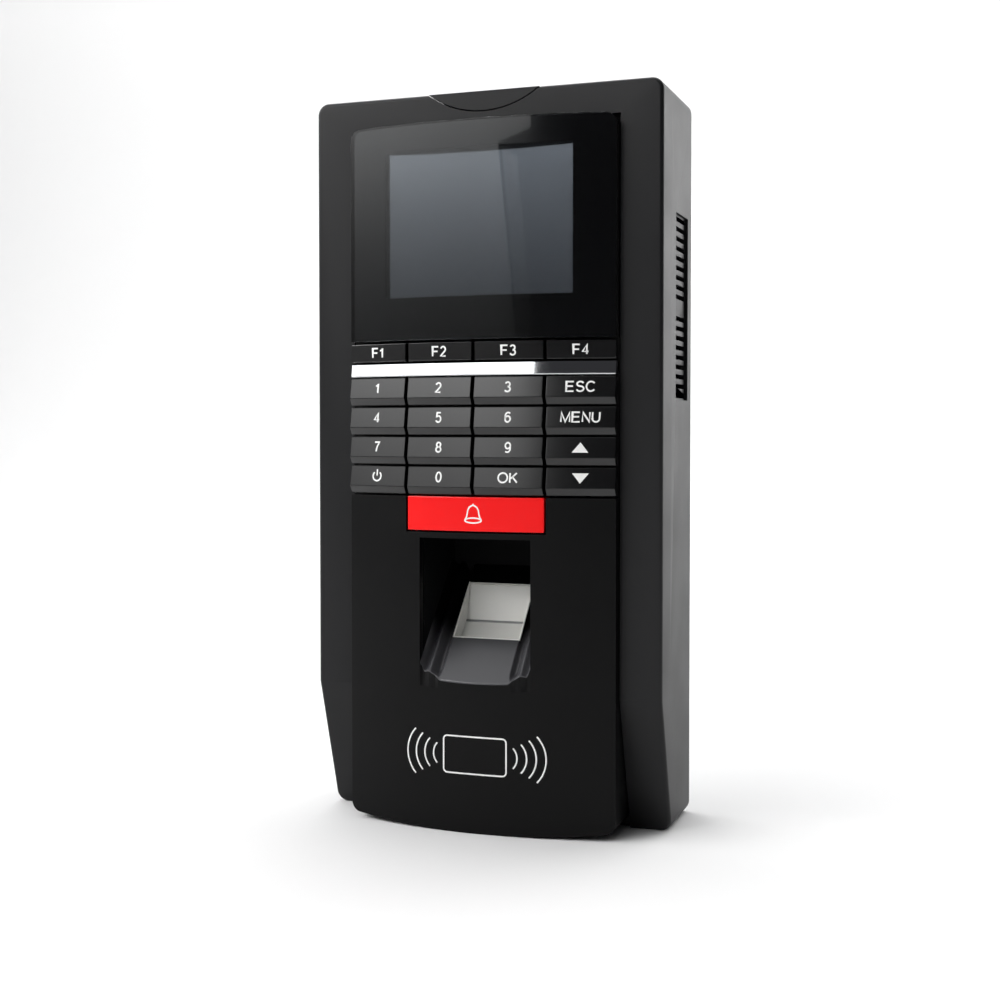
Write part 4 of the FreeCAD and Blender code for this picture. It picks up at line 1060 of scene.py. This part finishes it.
def wave_tree():
    """A tree that sweeps a ribbon along a row of growing arcs, flat in its own x-y plane."""
    tree = bpy.data.node_groups.new("radio_waves", "GeometryNodeTree")
    sockets = {"Count": "NodeSocketInt"}
    for name in WAVES:
        socket = sockets.get(name, "NodeSocketFloat")
        tree.interface.new_socket(name, in_out="INPUT", socket_type=socket)
    tree.interface.new_socket("Geometry", in_out="OUTPUT", socket_type="NodeSocketGeometry")
    given = add_node(tree, "NodeGroupInput").outputs
    start = add_node(tree, "ShaderNodeCombineXYZ", [("X", given["Start"])])
    pitch = add_node(tree, "ShaderNodeCombineXYZ", [("X", given["Pitch"])])
    row = add_node(
        tree,
        "GeometryNodeMeshLine",
        [("Count", given["Count"]), ("Start Location", start.outputs[0]), ("Offset", pitch.outputs[0])],
    )
    one_arc = add_node(
        tree,
        "GeometryNodeCurveArc",
        [("Resolution", 25), ("Radius", 1.0), ("Start Angle", math.radians(-44)),
         ("Sweep Angle", math.radians(88))],
    )
    index = add_node(tree, "GeometryNodeInputIndex")
    size = add_node(
        tree,
        "ShaderNodeMath",
        [(0, index.outputs[0]), (1, given["Growth"]), (2, given["Radius"])],
        operation="MULTIPLY_ADD",
    )
    spread = add_node(
        tree,
        "GeometryNodeInstanceOnPoints",
        [("Points", row.outputs[0]), ("Instance", one_arc.outputs[0]), ("Scale", size.outputs[0])],
    )
    loose = add_node(tree, "GeometryNodeRealizeInstances", [("Geometry", spread.outputs[0])])
    half = add_node(tree, "ShaderNodeMath", [(0, given["Width"]), (1, 0.5)], operation="MULTIPLY")
    minus = add_node(tree, "ShaderNodeMath", [(0, half.outputs[0]), (1, -1.0)], operation="MULTIPLY")
    left = add_node(tree, "ShaderNodeCombineXYZ", [("X", minus.outputs[0])])
    right = add_node(tree, "ShaderNodeCombineXYZ", [("X", half.outputs[0])])
    ribbon = add_node(
        tree, "GeometryNodeCurvePrimitiveLine", [("Start", left.outputs[0]), ("End", right.outputs[0])]
    )
    swept = add_node(
        tree,
        "GeometryNodeCurveToMesh",
        [("Curve", loose.outputs[0]), ("Profile Curve", ribbon.outputs[0])],
    )
    inked = add_node(
        tree, "GeometryNodeSetMaterial", [("Geometry", swept.outputs[0]), ("Material", white_ink)]
    )
    leave = add_node(tree, "NodeGroupOutput")
    tree.links.new(inked.outputs[0], leave.inputs["Geometry"])
    return tree


def grown(name, tree, values):
    """The plain mesh that a node tree makes from named values."""
    thing = in_scene(name, bpy.data.meshes.new(name))
    nodes = thing.modifiers.new("nodes", "NODES")
    nodes.node_group = tree
    for socket in tree.interface.items_tree:
        if socket.in_out == "INPUT" and socket.name in values:
            nodes[socket.identifier] = values[socket.name]
    return settle(thing)


waves = grown("waves", wave_tree(), WAVES)
CARD_X, CARD_Z = 0.3 * MM, cad_low.z + 19.6 * MM
for side, name in ((1, "card_waves_right"), (-1, "card_waves_left")):
    mesh = waves.data.copy()
    for vertex in mesh.vertices:
        vertex.co.x *= side
    print_on(name, mesh, (CARD_X, CARD_Z), panel, "case", white_ink, "case_plastic")
bpy.data.objects.remove(waves)

# %% Card outline
CARD_HALF, CARD_RISE, CARD_ROUND = 8.3 * MM, 4.65 * MM, 1.0 * MM
outline = []
for quarter, (x, y) in enumerate(((1, 1), (-1, 1), (-1, -1), (1, -1))):
    middle = (x * (CARD_HALF - CARD_ROUND), y * (CARD_RISE - CARD_ROUND))
    outline += arc(middle, (CARD_ROUND, CARD_ROUND), 90 * quarter, 90 * quarter + 90, 6)
card = stroke(outline + outline[:1], width=0.38 * MM)
print_on("card_outline", card, (CARD_X, CARD_Z), panel, "case", white_ink, "case_plastic")

# %% [markdown]
# ## Parts that repeat on the boards
#
# Pins, chip legs and small resistors repeat on a grid, so one Geometry Nodes tree places them: a
# grid of points, a block on each point, made real and given its metal. Its named inputs are the
# counts, the pitches and the block's size. The result is kept as a plain mesh.

# %% Blocks on a grid by Geometry Nodes


def block_tree(material):
    """A tree that puts equal blocks on a flat grid of points."""
    tree = bpy.data.node_groups.new("blocks_on_a_grid", "GeometryNodeTree")
    kinds = {"Across": "Int", "Along": "Int", "Spread X": "Float", "Spread Y": "Float"}
    kinds["Size"] = "Vector"
    for name, kind in kinds.items():
        tree.interface.new_socket(name, in_out="INPUT", socket_type=f"NodeSocket{kind}")
    tree.interface.new_socket("Geometry", in_out="OUTPUT", socket_type="NodeSocketGeometry")
    given = add_node(tree, "NodeGroupInput").outputs
    grid = add_node(
        tree,
        "GeometryNodeMeshGrid",
        [
            ("Size X", given["Spread X"]),
            ("Size Y", given["Spread Y"]),
            ("Vertices X", given["Across"]),
            ("Vertices Y", given["Along"]),
        ],
    )
    block = add_node(tree, "GeometryNodeMeshCube", [("Size", given["Size"])])
    spread = add_node(
        tree,
        "GeometryNodeInstanceOnPoints",
        [("Points", grid.outputs["Mesh"]), ("Instance", block.outputs["Mesh"])],
    )
    loose = add_node(tree, "GeometryNodeRealizeInstances", [("Geometry", spread.outputs[0])])
    dressed = add_node(
        tree, "GeometryNodeSetMaterial", [("Geometry", loose.outputs[0]), ("Material", material)]
    )
    leave = add_node(tree, "NodeGroupOutput")
    tree.links.new(dressed.outputs[0], leave.inputs["Geometry"])
    return tree


def blocks(name, material, counts, pitch, size, centres):
    """Blocks on grids that stand upright, in x and z, about each centre; sizes in millimetres."""
    spread = [(count - 1) * step * MM for count, step in zip(counts, pitch)]
    width, depth, height = (length * MM for length in size)
    values = {"Across": counts[0], "Along": counts[1], "Spread X": spread[0], "Spread Y": spread[1]}
    flat = grown(name, block_tree(material), {**values, "Size": (width, height, depth)})
    work = bmesh.new()
    for x, y, z in centres:
        part = flat.data.copy()
        part.transform(Matrix.Translation((x, y, z)) @ Matrix.Rotation(math.pi / 2, 4, "X"))
        work.from_mesh(part)
    work.to_mesh(flat.data)
    work.free()
    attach(flat, "case")
    return ease(flat, 0.06, 1)


low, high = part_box("wire_headers")
half = (high.x - low.x) / 2 - 4.75 * MM
pin_places = [(half * turn / 3, low.y + 4.2 * MM, (low.z + high.z) / 2) for turn in (-3, -1, 1, 3)]
blocks("header_pins", gold_pad, (3, 1), (2.5, 1), (0.64, 5.0, 0.64), pin_places)

board_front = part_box("main_board")[0].y
low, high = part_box("processor")
middle = (low + high) / 2
leg_y = board_front - 0.12 * MM
reach = (high.x - low.x) / 2 + 0.45 * MM
sides = [(middle.x + turn * reach, leg_y, middle.z) for turn in (-1, 1)]
blocks("processor_side_legs", can_steel, (1, 16), (1, 0.95), (1.0, 0.22, 0.4), sides)
ends = [(middle.x, leg_y, middle.z + turn * reach) for turn in (-1, 1)]
blocks("processor_end_legs", can_steel, (16, 1), (0.95, 1), (0.4, 0.22, 1.0), ends)
low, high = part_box("memory_chips")
rows = [low.x - 0.35 * MM, low.x + 10.35 * MM, high.x - 10.35 * MM, high.x + 0.35 * MM]
sides = [(x, leg_y, (low.z + high.z) / 2) for x in rows]
blocks("memory_legs", can_steel, (1, 9), (1, 1.27), (0.9, 0.22, 0.45), sides)
small = [(4 * MM, board_front - 0.22 * MM, 33 * MM)]
blocks("resistors", chip_epoxy, (7, 4), (2.4, 3.2), (0.8, 0.45, 1.6), small)

# %% [markdown]
# ## Screws
#
# A screw's head has a cross recess for the driver. It is cut into the wider end of each screw.

# %% Cross recesses


def cross_tool(end, way, reach):
    """A cross-shaped solid that sinks a millimetre into a head at its end, along an axis."""
    arm, half = 0.58 * reach, 0.34 * MM
    ring = [(arm, half), (half, half), (half, arm), (-half, arm), (-half, half), (-arm, half)]
    ring += [(-x, -y) for x, y in ring]
    turn = Vector((0, 0, 1)).rotation_difference(way).to_matrix()
    work = bmesh.new()
    ends = [[work.verts.new(end + turn @ Vector((x, y, z))) for x, y in ring] for z in (-0.001, 0.001)]
    work.faces.new(ends[0])
    work.faces.new(ends[1])
    skirt(work, *ends)
    bmesh.ops.recalc_face_normals(work, faces=work.faces)
    return in_scene("cross", as_mesh(work, "cross"))


def screw_ends(mesh):
    """Each screw's wide end: its middle, the outward axis and its radius."""
    work = bmesh.new()
    work.from_mesh(mesh)
    left = set(work.verts)
    found = []
    while left:
        island, edge = set(), [left.pop()]
        while edge:
            vertex = edge.pop()
            island.add(vertex)
            near = {other.other_vert(vertex) for other in vertex.link_edges} & left
            left -= near
            edge += near
        low = Vector([min(vertex.co[axis] for vertex in island) for axis in range(3)])
        high = Vector([max(vertex.co[axis] for vertex in island) for axis in range(3)])
        size = high - low
        axis = max(range(3), key=lambda step: size[step])
        across = [step for step in range(3) if step != axis]
        middle = (low + high) / 2
        for face_at, way in ((low, -1), (high, 1)):
            rim = [v.co - middle for v in island if abs(v.co[axis] - face_at[axis]) < 0.02 * MM]
            reach = max(math.hypot(*(co[step] for step in across)) for co in rim)
            if reach > 0.42 * size[across[0]]:
                end = middle.copy()
                end[axis] = face_at[axis]
                out = Vector()
                out[axis] = way
                found.append((end, out, reach))
    work.free()
    return found


for node in ("shell_screws", "board_screws", "security_screw"):
    screw = in_scene(f"{node}_crossed", welded(node))
    for end, way, reach in screw_ends(screw.data):
        carve(screw, cross_tool(end, way, reach))
    dress(ease(screw, 0.12, 2), screw_steel, "case", "screw_steel", node)
print("screws crossed")

moulding("usb_socket", "usb_socket_can", can_steel, "case", "steel", 0.1)

# %% [markdown]
# ## Inner parts
#
# Parts that stay inside keep their CAD shape. Each gets the finish that such a part has.

# %% Finishes of the inner parts
FINISHES = {
    green_board: ["main_board", "keypad_board", "sensor_board"],
    antenna_board: ["card_antenna"],
    film: ["display_lead", "keypad_lead", "sensor_lead"],
    grey_silicone: ["keypad_mat"],
    panel_glass: ["display_module"],
    zinc_sheet: ["display_frame"],
    well_abs: ["sensor_housing", "speaker"],
    eye_glass: ["sensor_camera"],
    chip_epoxy: ["processor", "memory_chips", "network_transformer"],
    relay_pbt: ["lock_relay"],
    nylon: ["wire_headers"],
    can_steel: ["clock_battery"],
    aluminium: ["smoothing_capacitors"],
}
for material, nodes in FINISHES.items():
    for node in nodes:
        mesh = frame["nodes"][node].data
        mesh.materials.clear()
        mesh.materials.append(material)

# %% [markdown]
# ## Studio
#
# A white sweep makes the floor and the background. A lit board on the left gives the keys, window
# and left wing their sheen, and the dark room in front keeps the rest of the window black.

# %% Floor, sweep and lights
floor_z = cad_low.z


def sweep(name, near, far, half, height, radius):
    """A floor that curves up into a back wall."""
    work = bmesh.new()
    path = [(near, 0.0), (far - radius, 0.0)]
    steps = 16
    for step in range(1, steps + 1):
        turn = math.pi / 2 * step / steps
        path.append((far - radius + radius * math.sin(turn), radius - radius * math.cos(turn)))
    path.append((far, height))
    rows = [[work.verts.new((x, y, floor_z + z)) for x in (-half, half)] for y, z in path]
    for first, second in zip(rows, rows[1:]):
        work.faces.new((first[0], first[1], second[1], second[0])).smooth = True
    thing = in_scene(name, as_mesh(work, name))
    return thing


backdrop = sweep("paper_sweep", -3.5, 1.2, 3.0, 2.4, 0.5)
paper, _, paper_shader, _ = start_material("matt_white_paper")
set_sockets(paper_shader, Base_Color=linear("f4f4f4"), Roughness=0.9)
backdrop.data.materials.append(paper)


def soft_box(name, place, aim, size, power, colour="ffffff"):
    """A rectangular soft light that looks at a point."""
    light = bpy.data.lights.new(name, "AREA")
    light.shape = "RECTANGLE"
    light.size, light.size_y = size
    light.energy = power
    light.color = linear(colour)[:3]
    thing = bpy.data.objects.new(name, light)
    thing.location = place
    thing.rotation_euler = (Vector(aim) - Vector(place)).to_track_quat("-Z", "Y").to_euler()
    bpy.context.scene.collection.objects.link(thing)
    return thing


# %% [markdown]
# ## Lit boards
#
# A lamp above a white board leaves it brighter towards its top and darker with distance. The
# window's gloss reflects the board's slanting edge as a line.

# %% Boards and soft boxes


def lit_card(name, turn, distance, edges, heights, strength):
    """An upright board at a turn to the left of straight ahead, lit more strongly higher up."""
    across = Vector((math.cos(math.radians(turn)), -math.sin(math.radians(turn)), 0))
    centre = Vector((-math.sin(math.radians(turn)), -math.cos(math.radians(turn)), 0)) * distance
    work = bmesh.new()
    corners = []
    for (left, right), height in zip(edges, heights):
        corners.append([centre + across * place + Vector((0, 0, height)) for place in (left, right)])
    rows = [[work.verts.new(corner) for corner in pair] for pair in corners]
    for low, high in zip(rows, rows[1:]):
        work.faces.new((low[0], low[1], high[1], high[0]))
    thing = in_scene(name, as_mesh(work, name))
    material, tree, _, place = start_material(name)
    height = add_node(tree, "ShaderNodeSeparateXYZ", [("Vector", place)]).outputs["Z"]
    ramp = add_node(
        tree,
        "ShaderNodeMapRange",
        [("Value", height), ("From Min", 0.0), ("From Max", 0.5), ("To Min", 0.0), ("To Max", 1.0)],
    )
    power = add_node(
        tree, "ShaderNodeMath", [(0, ramp.outputs["Result"]), (1, 3.0)], operation="POWER"
    )
    level = add_node(
        tree,
        "ShaderNodeMath",
        [(0, power.outputs[0]), (1, strength[1]), (2, strength[0])],
        operation="MULTIPLY_ADD",
    )
    along = add_node(tree, "ShaderNodeVectorMath", [(0, place), (1, across)], operation="DOT_PRODUCT")
    fade = add_node(
        tree,
        "ShaderNodeMapRange",
        [("Value", along.outputs["Value"]), ("From Max", 0.6), ("To Min", 1.35), ("To Max", 0.6)],
    )
    faded = add_node(
        tree,
        "ShaderNodeMath",
        [(0, level.outputs[0]), (1, fade.outputs["Result"])],
        operation="MULTIPLY",
    )
    glow = add_node(tree, "ShaderNodeEmission", [("Strength", faded.outputs[0])])
    tree.links.new(glow.outputs[0], tree.nodes["Material Output"].inputs["Surface"])
    thing.data.materials.append(material)
    thing.visible_camera = False
    return thing


lit_card(
    "main_card",
    42,
    0.8,
    [(-0.75, 0.573), (-0.75, 0.438), (-0.75, 0.60), (-0.75, 0.60)],
    (0.0, 0.25, 0.28, 0.62),
    (0.12, 9.0),
)
lit_card("side_card", 42, 0.81, [(0.595, 0.67), (0.46, 0.535)], (0.0, 0.25), (0.05, 3.5))
soft_box("top_box", (-0.1, 0.05, 1.0), (0, 0.05, 0), (1.2, 1.0), 5)
soft_box("right_box", (0.55, 0.9, 0.3), (0, 0, 0), (0.6, 0.8), 3.5)
soft_box("back_box", (-0.4, 0.4, 1.4), (-0.4, 1.2, 0.2), (3.2, 0.8), 20)
world = bpy.data.worlds.new("dark_room")
world.use_nodes = True
world.node_tree.nodes["Background"].inputs["Color"].default_value = (0.035, 0.035, 0.038, 1)
bpy.context.scene.world = world
